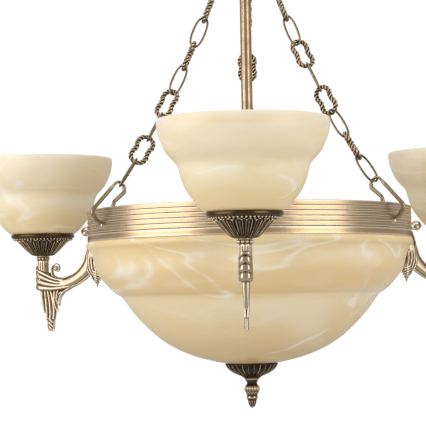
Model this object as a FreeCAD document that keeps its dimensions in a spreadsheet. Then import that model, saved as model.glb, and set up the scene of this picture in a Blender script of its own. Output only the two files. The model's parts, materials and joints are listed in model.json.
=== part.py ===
import FreeCAD, Part
import Sketcher
import math
import os

# Hanging bowl light with three up-turned side shades.
# Part frame: millimetres, origin at the centre of the ceiling plate's upper
# face, +Z up, the light hangs down from z = 0 to z = -900.
# Azimuth 0 points along -Y (the front arm), 90 along +X.
# Heights in the profiles below are counted up from a datum plane that lies
# dims.datum_drop below the ceiling, so that every sketch coordinate is
# positive.

os.makedirs("parts", exist_ok=True)
V = FreeCAD.Vector
doc = FreeCAD.newDocument("bowl_light")

# ----------------------------------------------------------------------
# driving dimensions
# ----------------------------------------------------------------------
sheet = doc.addObject("Spreadsheet::Sheet", "dims")
DIM = {}
_row = [1]


def dim(alias, value):
    """Put one driving dimension in the sheet under its alias."""
    if alias in DIM:
        return DIM[alias]
    cell = "A%d" % _row[0]
    sheet.set(cell, repr(float(value)))
    sheet.setAlias(cell, alias)
    _row[0] += 1
    DIM[alias] = float(value)
    return DIM[alias]


dim("datum_drop", 980.8)
UP = 200.0                      # profile heights are written from the lamp's own datum
dim("band_radius", 200.0)
dim("band_inner_radius", 197.2)
dim("band_height", 39.6)
dim("band_bottom", 86.5 + UP)
dim("rib_pitch", 6.0)
dim("groove_width", 1.2)
dim("groove_depth", 1.0)
dim("arm_pitch_radius", 319.5)
dim("stem_radius", 7.0)
dim("stem_bore", 5.0)
dim("stem_top", 980.8 - 44.3)
dim("stem_bottom", 113.2 + UP)
dim("nipple_radius", 4.95)
dim("nipple_bore", 3.6)
dim("lead_radius", 3.0)
dim("small_lead_radius", 1.6)
dim("rod_radius", 3.0)
dim("plate_length", 110.0)
dim("plate_width", 26.0)
dim("plate_thickness", 3.0)
dim("fixing_pitch", 84.0)
dim("fixing_hole_radius", 2.75)
dim("thread_clear", 0.05)
dim("screw_radius", 2.5)
dim("link_wire_plain", 1.3)
dim("link_wire_twist", 2.4)
dim("link_pitch", 33.5)
dim("clip_wire", 1.75)
dim("bulb_radius", 22.5)
dim("lamp_lift", 25.0)
dim("spider_width", 16.0)
dim("spider_thickness", 3.0)

doc.recompute()
NODES = []


def num(v):
    """Number behind a profile entry, which is a number or an expression."""
    if isinstance(v, str):
        return float(dim_value(v))
    return float(v)


def dim_value(text):
    # an expression here is ALIAS, or ALIAS + number, or ALIAS - number
    parts = text.split()
    total = DIM[parts[0]]
    k = 1
    while k < len(parts):
        step = DIM[parts[k + 1]] if parts[k + 1] in DIM else float(parts[k + 1])
        total = total + step if parts[k] == "+" else total - step
        k += 2
    return total


def expr(text):
    out = []
    for word in text.split():
        out.append("dims." + word if word in DIM else word)
    return " ".join(out)


def plane(body, role):
    for f in body.Origin.OriginFeatures:
        if f.Role == role:
            return f
    raise RuntimeError("no plane " + role)


def closed_profile(body, name, pts, role="XZ_Plane", r_ref=None, z_ref=None):
    """Closed straight-sided profile; every corner is a driven dimension.

    A plain number x is bound to r_ref (alias) times its ratio, a plain number
    z to z_ref (alias) plus its offset; a string is bound as it stands.
    """
    sk = body.newObject("Sketcher::SketchObject", name)
    sk.AttachmentSupport = [(plane(body, role), "")]
    sk.MapMode = "FlatFace"
    P = [(num(a), num(b)) for a, b in pts]
    n = len(P)
    geo = []
    for i in range(n):
        a, b = P[i], P[(i + 1) % n]
        geo.append(Part.LineSegment(V(a[0], a[1], 0), V(b[0], b[1], 0)))
    sk.addGeometry(geo, False)
    con = []
    for i in range(n):
        con.append(Sketcher.Constraint("Coincident", i, 2, (i + 1) % n, 1))
    sk.addConstraint(con)
    for i in range(n):
        for axis, typ, k in ((-2, "DistanceX", 0), (-1, "DistanceY", 1)):
            val = P[i][k]
            src = pts[i][k]
            if abs(val) < 1e-9 and not isinstance(src, str):
                sk.addConstraint(Sketcher.Constraint("PointOnObject", i, 1, axis))
                continue
            c = sk.addConstraint(Sketcher.Constraint(typ, -1, 1, i, 1, val))
            if isinstance(src, str):
                sk.setExpression("Constraints[%d]" % c, expr(src))
            elif k == 0 and r_ref:
                sk.setExpression("Constraints[%d]" % c,
                                 "dims.%s * %.6f" % (r_ref, val / DIM[r_ref]))
            elif k == 1 and z_ref:
                sk.setExpression("Constraints[%d]" % c,
                                 "dims.%s + %.4f" % (z_ref, val - DIM[z_ref]))
    return sk


def place(obj, x=0.0, y=0.0, az=0.0, exprs=None):
    """Put an object on the datum plane, turned to an azimuth."""
    obj.Placement = FreeCAD.Placement(V(x, y, -DIM["datum_drop"]),
                                      FreeCAD.Rotation(V(0, 0, 1), az))
    obj.setExpression("Placement.Base.z", "-dims.datum_drop")
    if exprs:
        for key, text in exprs.items():
            obj.setExpression("Placement.Base." + key, text)


def turned(label, pts, r_ref=None, z_ref=None, node=True, at=None, az=0.0):
    """A turned or spun piece: profile revolved about the vertical axis.

    at = azimuth of an arm when the piece stands on that arm's own axis.
    """
    body = doc.addObject("PartDesign::Body", "b_" + label)
    body.Label = label
    sk = closed_profile(body, "s_" + label, pts, "XZ_Plane", r_ref, z_ref)
    rev = body.newObject("PartDesign::Revolution", "r_" + label)
    rev.Profile = (sk, [""])
    rev.ReferenceAxis = (sk, ["V_Axis"])
    rev.Angle = 360.0
    body.Tip = rev
    if at is None:
        place(body, az=az)
    else:
        a = math.radians(at)
        s, c = math.sin(a), -math.cos(a)
        place(body, DIM["arm_pitch_radius"] * s, DIM["arm_pitch_radius"] * c, az=at,
              exprs={"x": "dims.arm_pitch_radius * %.9f" % s,
                     "y": "dims.arm_pitch_radius * %.9f" % c})
    if node:
        NODES.append(body)
    return body


def offset_inner(pts, t):
    """Inner wall of a shell: the outer profile moved in by t, corner by corner."""
    out = []
    n = len(pts)
    for i in range(n):
        p = pts[i]
        a = pts[max(i - 1, 0)]
        b = pts[min(i + 1, n - 1)]
        dx, dz = b[0] - a[0], b[1] - a[1]
        ln = math.hypot(dx, dz)
        out.append((p[0] + t * dz / ln, p[1] - t * dx / ln))
    return out


def ring_group(label, makers):
    """Several separate solids of one kind kept together in one node."""
    fuse = doc.addObject("Part::MultiFuse", "g_" + label)
    fuse.Label = label
    fuse.Shapes = makers
    NODES.append(fuse)
    return fuse


def arm_xy(az, r):
    a = math.radians(az)
    return r * math.sin(a), -r * math.cos(a)


def cyl(name, radius, length, pos, direction, bound=None):
    """Part::Cylinder from pos along direction (datum heights are part z here)."""
    c = doc.addObject("Part::Cylinder", name)
    c.Radius = num(radius)
    c.Height = length
    if isinstance(radius, str):
        c.setExpression("Radius", expr(radius))
    c.Placement = FreeCAD.Placement(V(*pos), FreeCAD.Rotation(V(0, 0, 1), V(*direction)))
    return c


ZD = -DIM["datum_drop"]          # part z of the datum plane


def zz(h):
    """Part z of a height above the light's own datum."""
    return h + UP + ZD


def read(alias):
    """A size as it stands in the sheet, for the pieces made from shapes."""
    return float(getattr(sheet, alias))


# ----------------------------------------------------------------------
# ceiling fixing
# ----------------------------------------------------------------------
plate = doc.addObject("PartDesign::Body", "b_ceiling_plate")
plate.Label = "ceiling_plate"
sk = plate.newObject("Sketcher::SketchObject", "s_plate")
sk.AttachmentSupport = [(plane(plate, "XY_Plane"), "")]
sk.MapMode = "FlatFace"
L2, W2 = DIM["plate_length"] / 2, DIM["plate_width"] / 2
sk.addGeometry([
    Part.LineSegment(V(-L2 + W2, W2, 0), V(L2 - W2, W2, 0)),
    Part.ArcOfCircle(Part.Circle(V(L2 - W2, 0, 0), V(0, 0, 1), W2), -math.pi / 2, math.pi / 2),
    Part.LineSegment(V(L2 - W2, -W2, 0), V(-L2 + W2, -W2, 0)),
    Part.ArcOfCircle(Part.Circle(V(-L2 + W2, 0, 0), V(0, 0, 1), W2), math.pi / 2, 3 * math.pi / 2),
], False)
sk.addConstraint([
    Sketcher.Constraint("Tangent", 0, 2, 1, 2),
    Sketcher.Constraint("Tangent", 1, 1, 2, 1),
    Sketcher.Constraint("Tangent", 2, 2, 3, 2),
    Sketcher.Constraint("Tangent", 3, 1, 0, 1),
    Sketcher.Constraint("Horizontal", 0),
    Sketcher.Constraint("Symmetric", 1, 3, 3, 3, -1, 1),
])
c = sk.addConstraint(Sketcher.Constraint("Radius", 1, W2))
sk.setExpression("Constraints[%d]" % c, "dims.plate_width / 2")
c = sk.addConstraint(Sketcher.Constraint("DistanceX", -1, 1, 1, 3, L2 - W2))
sk.setExpression("Constraints[%d]" % c, "dims.plate_length / 2 - dims.plate_width / 2")
pad = plate.newObject("PartDesign::Pad", "pad_plate")
pad.Profile = (sk, [""])
pad.Length = DIM["plate_thickness"]
pad.setExpression("Length", "dims.plate_thickness")
pad.Reversed = True
plate.Tip = pad
doc.recompute()
hk = plate.newObject("Sketcher::SketchObject", "s_plate_holes")
hk.AttachmentSupport = [(plane(plate, "XY_Plane"), "")]
hk.MapMode = "FlatFace"
hk.addGeometry([
    Part.Circle(V(DIM["fixing_pitch"] / 2, 0, 0), V(0, 0, 1), DIM["fixing_hole_radius"]),
    Part.Circle(V(-DIM["fixing_pitch"] / 2, 0, 0), V(0, 0, 1), DIM["fixing_hole_radius"]),
    Part.Circle(V(0, 0, 0), V(0, 0, 1), DIM["stem_bore"]),
], False)
for g, sign in ((0, 1), (1, -1)):
    hk.addConstraint(Sketcher.Constraint("PointOnObject", g, 3, -1))
    c = hk.addConstraint(Sketcher.Constraint("DistanceX", -1, 1, g, 3, sign * DIM["fixing_pitch"] / 2))
    hk.setExpression("Constraints[%d]" % c, "dims.fixing_pitch * %.1f" % (0.5 * sign))
    c = hk.addConstraint(Sketcher.Constraint("Radius", g, DIM["fixing_hole_radius"]))
    hk.setExpression("Constraints[%d]" % c, "dims.fixing_hole_radius")
hk.addConstraint(Sketcher.Constraint("Coincident", 2, 3, -1, 1))
c = hk.addConstraint(Sketcher.Constraint("Radius", 2, DIM["stem_bore"]))
hk.setExpression("Constraints[%d]" % c, "dims.stem_bore")
pk = plate.newObject("PartDesign::Pocket", "pk_plate")
pk.Profile = (hk, [""])
pk.Type = 1
pk.Midplane = True
plate.Tip = pk
NODES.append(plate)


def tube(label, r_out, r_in, z0, z1, node=True):
    """Plain tube on the main axis between two part heights, as a turned body."""
    h0, h1 = z0 - ZD, z1 - ZD
    return turned(label, [(r_in, h0), (r_out, h0), (r_out, h1), (r_in, h1)],
                  None, None, node)


def hexnut(name, across, height, bore, pos, direction=(0, 0, 1)):
    """Hexagon nut: prism less its threaded bore."""
    p = doc.addObject("Part::Prism", "p_" + name)
    p.Polygon = 6
    p.Circumradius = across / math.sqrt(3.0)
    p.Height = height
    p.Placement = FreeCAD.Placement(V(*pos), FreeCAD.Rotation(V(0, 0, 1), V(*direction)))
    d = V(*direction)
    b = cyl("c_" + name, bore, height + 2.0, tuple(V(*pos) - d), direction)
    cut = doc.addObject("Part::Cut", "n_" + name)
    cut.Base = p
    cut.Tool = b
    return cut


tube("mount_nipple", "nipple_radius", "nipple_bore", -17.0, -0.5)
lock = hexnut("lock_nut", 17.0, 5.0, "stem_bore", (0, 0, -8.1))
lock.Label = "lock_nut"
NODES.append(lock)

# open yoke that lets the lead out sideways between the two nipples
yoke_parts = []
hk_top = cyl("hk_top", 8.0, 8.0, (0, 0, -17.0), (0, 0, 1))
hk_low = cyl("hk_low", 8.0, 8.0, (0, 0, -44.0), (0, 0, 1))
bars = []
for sgn in (1, -1):
    b = doc.addObject("Part::Box", "hk_bar")
    b.Length, b.Width, b.Height = 8.0, 2.6, 19.4
    b.Placement = FreeCAD.Placement(V(-4.0, 4.9 if sgn > 0 else -7.5, -36.2), FreeCAD.Rotation())
    bars.append(b)
hk_f = doc.addObject("Part::MultiFuse", "hk_fuse")
hk_f.Shapes = [hk_top, hk_low] + bars
hk_b = doc.addObject("Part::MultiFuse", "hk_bores")
hk_b.Shapes = [cyl("hk_b1", "stem_bore", 9.0, (0, 0, -17.5), (0, 0, 1)),
               cyl("hk_b2", "stem_bore", 9.0, (0, 0, -44.5), (0, 0, 1))]
hickey = doc.addObject("Part::Cut", "hickey")
hickey.Base = hk_f
hickey.Tool = hk_b
hickey.Label = "hickey_yoke"
NODES.append(hickey)

tube("stem_nipple", "nipple_radius", "nipple_bore", -62.0, -37.0)

# connection block on a stand-off under the plate, wires enter it from the axis side
tb = doc.addObject("Part::Box", "tb_block")
tb.Length, tb.Width, tb.Height = 14.0, 24.0, 13.0
tb.Placement = FreeCAD.Placement(V(17.0, -12.0, -30.5), FreeCAD.Rotation())
tf = doc.addObject("Part::Box", "tb_foot")
tf.Length, tf.Width, tf.Height = 8.0, 12.0, 14.6
tf.Placement = FreeCAD.Placement(V(20.0, -6.0, -17.7), FreeCAD.Rotation())
tbf = doc.addObject("Part::MultiFuse", "tb_fuse")
tbf.Shapes = [tb, tf]
tbh = doc.addObject("Part::MultiFuse", "tb_holes")
holes = []
for k, yy in enumerate((-7.5, 0.0, 7.5)):
    holes.append(cyl("tb_s%d" % k, 2.2, 6.0, (24.0, yy, -31.5), (0, 0, 1)))
holes.append(cyl("tb_w", "lead_radius + 0.2", 4.0, (16.0, 0.0, -24.0), (1, 0, 0)))
tbh.Shapes = holes
tbc = doc.addObject("Part::Cut", "terminal_block")
tbc.Base = tbf
tbc.Tool = tbh
tbc.Label = "terminal_block"
NODES.append(tbc)
ring_group("terminal_screws", [cyl("ts%d" % k, 1.9, 4.0, (24.0, yy, -30.2), (0, 0, 1))
                               for k, yy in enumerate((-7.5, 0.0, 7.5))])

# canopy: spun cup that covers the plate, open at the ceiling side
dim("canopy_radius", 60.0)
dim("canopy_wall", 1.2)
dim("canopy_top", 980.8 - 1.0)
can_out = [(60.0, -1.0), (60.0, -4.0), (58.6, -5.2), (58.0, -9.0), (55.5, -15.0), (50.0, -23.0),
           (42.0, -31.5), (32.0, -39.0), (23.0, -44.5), (17.0, -49.5), (14.0, -56.0)]
can_out = [(r, z - ZD) for r, z in can_out]
can_in = offset_inner(can_out, DIM["canopy_wall"])
can_in[0] = (can_out[0][0] - DIM["canopy_wall"], can_out[0][1])
can_in[-1] = (can_out[-1][0] - 2.0, can_out[-1][1] + 1.5)
turned("canopy", can_out + [("stem_radius + 0.35", can_out[-1][1]),
                            ("stem_radius + 0.35", can_out[-1][1] + 1.5)]
       + list(reversed(can_in)), "canopy_radius", "canopy_top")

dim("collar_radius", 12.0)
col = turned("canopy_collar_raw", [("stem_radius + 0.35", -68.0 - ZD), (10.6, -68.0 - ZD), ("collar_radius", -66.4 - ZD),
                                   ("collar_radius", -57.8 - ZD), (10.6, -56.2 - ZD), ("stem_radius + 0.35", -56.2 - ZD)],
             "collar_radius", "canopy_top", node=False)
cut = doc.addObject("Part::Cut", "canopy_collar")
cut.Base = col
cut.Tool = cyl("cc_hole", 2.05, 8.0, (0, 6.0, -62.0), (0, 1, 0))
cut.Label = "canopy_collar"
NODES.append(cut)


def screw(label, r, length, head_r, head_h, tip, direction, node=True):
    """Cheese-head screw: shank from its tip along direction, then the head."""
    d = V(*direction)
    d.normalize()
    s = cyl("sh_" + label, r, length, tip, direction)
    h = cyl("hd_" + label, head_r, head_h, tuple(V(*tip) + d * length), direction)
    f = doc.addObject("Part::MultiFuse", "f_" + label)
    f.Shapes = [s, h]
    f.Label = label
    if node:
        NODES.append(f)
    return f


screw("collar_screw", 2.0, 4.9, 3.2, 2.4, (0, 7.4, -62.0), (0, 1, 0))

# ----------------------------------------------------------------------
# stem, its lead and the chain hub
# ----------------------------------------------------------------------
turned("stem_tube", [("stem_bore", "stem_bottom"), ("stem_radius", "stem_bottom"),
                     ("stem_radius", "stem_top"), ("stem_bore", "stem_top")])


def rounded_path(pts, radii):
    """Straight runs joined by tangent arcs, open path, as a wire."""
    edges = []
    last = V(*pts[0])
    for i in range(1, len(pts) - 1):
        p0, p1, p2 = V(*pts[i - 1]), V(*pts[i]), V(*pts[i + 1])
        u = (p0 - p1)
        u.normalize()
        w = (p2 - p1)
        w.normalize()
        ang = math.acos(max(-1.0, min(1.0, u.dot(w))))
        t = radii[i - 1] / math.tan(ang / 2)
        a, b = p1 + u * t, p1 + w * t
        bis = (u + w)
        bis.normalize()
        cdist = radii[i - 1] / math.sin(ang / 2)
        mid = p1 + bis * (cdist - radii[i - 1])
        if (a - last).Length > 1e-6:
            edges.append(Part.LineSegment(last, a).toShape())
        edges.append(Part.Arc(a, mid, b).toShape())
        last = b
    edges.append(Part.LineSegment(last, V(*pts[-1])).toShape())
    return Part.Wire(edges)


def closed_rounded(pts, radii):
    """Closed loop of straight runs and tangent arcs."""
    n = len(pts)
    arcs = []
    for i in range(n):
        p0, p1, p2 = V(*pts[i - 1]), V(*pts[i]), V(*pts[(i + 1) % n])
        u = (p0 - p1)
        u.normalize()
        w = (p2 - p1)
        w.normalize()
        ang = math.acos(max(-1.0, min(1.0, u.dot(w))))
        t = radii[i] / math.tan(ang / 2)
        bis = (u + w)
        bis.normalize()
        arcs.append((p1 + u * t, p1 + bis * (radii[i] / math.sin(ang / 2) - radii[i]), p1 + w * t))
    edges = []
    for i in range(n):
        a = arcs[i]
        edges.append(Part.Arc(a[0], a[1], a[2]).toShape())
        b = arcs[(i + 1) % n]
        if (b[0] - a[2]).Length > 1e-6:
            edges.append(Part.LineSegment(a[2], b[0]).toShape())
    return Part.Wire(edges)


def pipe(wire, radius, label=""):
    """Round wire or lead of constant radius along a path."""
    e = wire.OrderedEdges[0] if hasattr(wire, "OrderedEdges") else wire.Edges[0]
    p = e.valueAt(e.FirstParameter)
    t = e.tangentAt(e.FirstParameter)
    prof = Part.Wire([Part.Circle(p, t, radius).toShape()])
    s = wire.makePipeShell([prof], True, True)
    if s.ShapeType != "Solid":
        s = Part.Solid(s.Shells[0]) if s.Shells else s
    if s.Volume < 0:
        s.reverse()
    want = math.pi * radius * radius * wire.Length
    print("%-20s length %8.2f  volume %.0f of %.0f" % (label, wire.Length, s.Volume, want))
    return s


def feature(label, shape):
    f = doc.addObject("Part::Feature", "f_" + label)
    f.Shape = shape
    f.Label = label
    f.Placement = FreeCAD.Placement()
    NODES.append(f)
    return f


lead_path = rounded_path([(0, 0, zz(106.0)), (0, 0, -24.0), (20.0, 0, -24.0)], [10.0])
feature("stem_lead", pipe(lead_path, read("lead_radius"), "stem_lead"))

# the three chains hang from rings on this hub; their lowest links hook on
# the clips that straddle the band
dim("hub_radius", 22.0)
dim("hub_mid", 424.3 + UP)
hub_prof = [("stem_radius + 0.05", 402.0), (10.5, 402.0), (11.5, 405.5), (10.2, 408.0), (15.0, 413.0),
            (20.5, 417.5), (22.0, 420.0), (22.0, 428.6), (20.0, 431.0), (14.0, 434.5),
            (10.5, 440.0), (11.6, 442.0), (10.5, 446.0), ("stem_radius + 0.05", 446.0)]
hub_prof = [(r, z + UP) for r, z in hub_prof]
hub_raw = turned("chain_hub_raw", hub_prof, "hub_radius", "hub_mid", node=False)
hub_cut = doc.addObject("Part::MultiFuse", "hub_holes")
hub_holes = [cyl("hub_sh", 2.05, 12.0, (0, 4.0, zz(443.5)), (0, 1, 0))]
CHAINS = (("front_right", 60.0), ("front_left", -60.0), ("back", 180.0))
for nm, az in CHAINS:
    x, y = arm_xy(az, 14.0)
    d = arm_xy(az, 1.0)
    hub_holes.append(cyl("hub_e_" + nm, 1.65, 12.0, (x, y, zz(424.3)), (d[0], d[1], 0)))
hub_cut.Shapes = hub_holes
hub = doc.addObject("Part::Cut", "chain_hub")
hub.Base = hub_raw
hub.Tool = hub_cut
hub.Label = "chain_hub"
NODES.append(hub)
screw("hub_screw", 2.0, 4.5, 3.0, 2.0, (0, 7.1, zz(443.5)), (0, 1, 0))

EYE_C = (30.5, 424.3)            # centre of each ring, radius and height
dim("eye_ring_radius", 6.0)
dim("eye_wire", 1.6)
eyes = []
for nm, az in CHAINS:
    d = arm_xy(az, 1.0)
    x, y = arm_xy(az, EYE_C[0])
    t = doc.addObject("Part::Torus", "eye_" + nm)
    t.Radius1 = DIM["eye_ring_radius"]
    t.Radius2 = DIM["eye_wire"]
    t.setExpression("Radius1", "dims.eye_ring_radius")
    t.setExpression("Radius2", "dims.eye_wire")
    # the ring's axis is tangential, so its plane holds the light's axis
    t.Placement = FreeCAD.Placement(V(x, y, zz(EYE_C[1])),
                                    FreeCAD.Rotation(V(0, 0, 1), V(-d[1], d[0], 0)))
    x0, y0 = arm_xy(az, 14.5)
    s = cyl("eyeshank_" + nm, 1.6, 10.2, (x0, y0, zz(EYE_C[1])), (d[0], d[1], 0))
    f = doc.addObject("Part::MultiFuse", "eyef_" + nm)
    f.Shapes = [t, s]
    eyes.append(f)
ring_group("hub_eyes", eyes)

# ----------------------------------------------------------------------
# chains
# ----------------------------------------------------------------------
PLAIN_HALF, PLAIN_END = 19.8, 6.7       # centre line: half length, end radius
TW_HALF, TW_END, TW_WAIST = 17.7, 8.1, 5.6


def plain_link():
    c = PLAIN_HALF - PLAIN_END
    r = PLAIN_END
    w = Part.Wire([
        Part.Arc(V(r, 0, c), V(0, 0, c + r), V(-r, 0, c)).toShape(),
        Part.LineSegment(V(-r, 0, c), V(-r, 0, -c)).toShape(),
        Part.Arc(V(-r, 0, -c), V(0, 0, -c - r), V(r, 0, -c)).toShape(),
        Part.LineSegment(V(r, 0, -c), V(r, 0, c)).toShape()])
    return pipe(w, read("link_wire_plain"), "plain link")


def twist_link():
    a, c, w = TW_END, TW_HALF - TW_END, TW_WAIST
    b = (w * w + c * c - a * a) / (2 * (a - w))
    d = w + b
    n = math.hypot(d, c)
    tx, tz = a * d / n, c - a * c / n
    wr = Part.Wire([
        Part.Arc(V(tx, 0, tz), V(0, 0, c + a), V(-tx, 0, tz)).toShape(),
        Part.Arc(V(-tx, 0, tz), V(-w, 0, 0), V(-tx, 0, -tz)).toShape(),
        Part.Arc(V(-tx, 0, -tz), V(0, 0, -c - a), V(tx, 0, -tz)).toShape(),
        Part.Arc(V(tx, 0, -tz), V(w, 0, 0), V(tx, 0, tz)).toShape()])
    return pipe(wr, read("link_wire_twist"), "twisted link")


# slope of each link from the vertical, bottom link first, then the pull at the ring
APEX = (174.2, 155.1)
SLOPES = (36.0, 34.0, 32.0, 30.0, 28.4, 27.0, 25.6, 24.4, 23.3, 22.4)
FIRST = 18.5 - 1.75 - 0.5
# turn of each link about the chain's own line, degrees from "flat across the radius"
TURNS = {"front_right": (35.0, -26.6, 35.0, 95.0, 153.4, 35.0, 95.0, 153.4, 35.0),
         "front_left": (-26.6, 63.4, -26.6, 35.0, 95.0, 153.4, 63.4, -26.6, 35.0),
         "back": (0.0, 90.0, 0.0, 62.0, 124.0, 0.0, 60.0, 118.0, 0.0)}


def chain_points():
    pts = []
    r, z = APEX
    step = FIRST
    prev = None
    for i in range(9):
        a = math.radians(SLOPES[i])
        r -= step * math.sin(a)
        z += step * math.cos(a)
        nxt = math.radians((SLOPES[i] + SLOPES[i + 1]) / 2)
        pts.append((r, z, nxt))
        step = read("link_pitch")
    return pts


LINKS = chain_points()
plain0, twist0 = plain_link(), twist_link()


def link_matrix(az, r, z, slope, turn, mirror):
    """Frame of one link: its long axis follows the chain, its width is turned."""
    a = math.radians(az)
    er = V(math.sin(a), -math.cos(a), 0)
    et = V(math.cos(a), math.sin(a), 0)
    if mirror:
        et = et * -1.0
    d = er * (-math.sin(slope)) + V(0, 0, 1) * math.cos(slope)
    wb = er * math.cos(slope) + V(0, 0, 1) * math.sin(slope)
    ph = math.radians(turn)
    wv = et * math.cos(ph) + wb * math.sin(ph)
    nv = d.cross(wv)
    o = er * r + V(0, 0, zz(z))
    return FreeCAD.Matrix(wv.x, nv.x, d.x, o.x, wv.y, nv.y, d.y, o.y, wv.z, nv.z, d.z, o.z, 0, 0, 0, 1)


for nm, az in CHAINS:
    plain, twist = [], []
    for i, (r, z, sl) in enumerate(LINKS):
        m = link_matrix(az, r, z, sl, TURNS[nm][i], nm == "front_left")
        src = plain0 if i % 2 == 0 else twist0
        (plain if i % 2 == 0 else twist).append(src.transformed(m, True))
    feature("chain_plain_links_" + nm, Part.makeCompound(plain))
    feature("chain_twist_links_" + nm, Part.makeCompound(twist))

# wire clips: each is a closed triangle through a slot in the band
CLIP = [(169.9, 151.9), (178.5, 158.35), (216.6, 119.8), (206.0, 108.2), (191.5, 108.2)]
CLIP_R = [5.4, 5.4, 6.0, 6.0, 4.5]
clips = []
for nm, az in CHAINS:
    pts = []
    for r, z in CLIP:
        x, y = arm_xy(az, r)
        pts.append((x, y, zz(z)))
    clips.append(pipe(closed_rounded(pts, CLIP_R), read("clip_wire"), "clip"))
feature("band_clips", Part.makeCompound(clips))

# ----------------------------------------------------------------------
# band, spider and centre
# ----------------------------------------------------------------------
prof = [("band_inner_radius", "band_bottom"), ("band_radius", "band_bottom")]
zb = DIM["band_bottom"]
# five grooves part the band's face in six ribs, the lowest rib is the tallest
for k in range(5):
    zc = zb + 9.8 + 6.0 * k
    g = DIM["groove_width"] / 2
    prof += [("band_radius", "band_bottom + %.3f" % (9.8 + 6.0 * k - g)),
             ("band_radius - groove_depth", "band_bottom + %.3f" % (9.8 + 6.0 * k)),
             ("band_radius", "band_bottom + %.3f" % (9.8 + 6.0 * k + g))]
prof += [("band_radius", "band_bottom + band_height"), ("band_inner_radius", "band_bottom + band_height")]
band_raw = turned("ring_band_raw", prof, node=False)
bh = []
ARMS = (("front", 0.0), ("right", 120.0), ("left", -120.0))
for nm, az in CHAINS:
    d = arm_xy(az, 1.0)
    x, y = arm_xy(az, 190.0)
    for k, h in enumerate((103.4, 105.8, 108.2)):
        bh.append(cyl("slot_%s_%d" % (nm, k), 2.15, 20.0, (x, y, zz(h)), (d[0], d[1], 0)))
for nm, az in ARMS:
    d = arm_xy(az, 1.0)
    x, y = arm_xy(az, 190.0)
    bh.append(cyl("bs_" + nm, "screw_radius + thread_clear + thread_clear", 20.0, (x, y, zz(99.5)), (d[0], d[1], 0)))
    bh.append(cyl("bl_" + nm, "small_lead_radius + 0.4", 20.0, (x, y, zz(109.5)), (d[0], d[1], 0)))
bhf = doc.addObject("Part::MultiFuse", "band_holes")
bhf.Shapes = bh
band = doc.addObject("Part::Cut", "ring_band")
band.Base = band_raw
band.Tool = bhf
band.Label = "ring_band"
NODES.append(band)

# spider: flat bars from the centre to the band with upturned tabs
sp = [cyl("sp_disc", 24.0, DIM["spider_thickness"], (0, 0, zz(92.0)), (0, 0, 1))]
sp_h = [cyl("sp_hole", "rod_radius + 0.1", 10.0, (0, 0, zz(90.0)), (0, 0, 1))]
for nm, az in ARMS:
    rot = FreeCAD.Rotation(V(0, 0, 1), az)
    b = doc.addObject("Part::Box", "sp_bar_" + nm)
    b.Length, b.Width, b.Height = DIM["spider_width"], 190.0, DIM["spider_thickness"]
    b.setExpression("Length", "dims.spider_width")
    b.setExpression("Height", "dims.spider_thickness")
    b.Placement = FreeCAD.Placement(rot.multVec(V(-8.0, -196.7, zz(92.0))), rot)
    t = doc.addObject("Part::Box", "sp_tab_" + nm)
    t.Length, t.Width, t.Height = DIM["spider_width"], 3.0, 24.0
    t.setExpression("Length", "dims.spider_width")
    t.Placement = FreeCAD.Placement(rot.multVec(V(-8.0, -196.7, zz(92.0))), rot)
    sp += [b, t]
    d = arm_xy(az, 1.0)
    x, y = arm_xy(az, 185.0)
    sp_h.append(cyl("sps_" + nm, "screw_radius + thread_clear + thread_clear", 15.0, (x, y, zz(99.5)), (d[0], d[1], 0)))
    sp_h.append(cyl("spl_" + nm, "small_lead_radius + 0.4", 15.0, (x, y, zz(109.5)), (d[0], d[1], 0)))
spf = doc.addObject("Part::MultiFuse", "sp_fuse")
spf.Shapes = sp
sph = doc.addObject("Part::MultiFuse", "sp_holes")
sph.Shapes = sp_h
spider = doc.addObject("Part::Cut", "spider_frame")
spider.Base = spf
spider.Tool = sph
spider.Label = "spider_frame"
NODES.append(spider)

# band screws: from inside through tab and band into each arm's foot
bs = []
for nm, az in ARMS:
    d = arm_xy(az, 1.0)
    x, y = arm_xy(az, 212.0)
    bs.append(screw("band_screw_" + nm, "screw_radius", 18.4, 4.5, 3.4, (x, y, zz(99.5)), (-d[0], -d[1], 0), node=False))
ring_group("band_screws", bs)

dim("centre_radius", 20.0)
dim("centre_base", 95.2 + UP)
cb = [("rod_radius + 0.1", 95.2), ("centre_radius", 95.2), ("centre_radius", 111.0), (17.0, 114.5), (12.0, 118.0),
      (11.0, 128.0), ("stem_radius + 0.05", 128.0), ("stem_radius + 0.05", 113.0), ("stem_bore", 113.0),
      ("stem_bore", 110.0), (15.0, 108.0), (15.0, 98.2), ("rod_radius + 0.1", 98.2)]
cb = [(r, z + UP) for r, z in cb]
cb_raw = turned("centre_body_raw", cb, "centre_radius", "centre_base", node=False)
ch = []
for nm, az in ARMS:
    d = arm_xy(az, 1.0)
    x, y = arm_xy(az, 12.0)
    ch.append(cyl("cbl_" + nm, "small_lead_radius + 0.4", 12.0, (x, y, zz(102.0)), (d[0], d[1], 0)))
chf = doc.addObject("Part::MultiFuse", "cb_holes")
chf.Shapes = ch
centre = doc.addObject("Part::Cut", "centre_body")
centre.Base = cb_raw
centre.Tool = chf
centre.Label = "centre_body"
NODES.append(centre)

leads = []
for nm, az in ARMS:
    pts = []
    for r, z in ((15.6, 102.0), (168.0, 102.0), (182.0, 109.5), (206.5, 109.5)):
        x, y = arm_xy(az, r)
        pts.append((x, y, zz(z)))
    leads.append(pipe(rounded_path(pts, [14.0, 14.0]), read("small_lead_radius"), "arm lead"))
feature("arm_leads", Part.makeCompound(leads))

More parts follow.
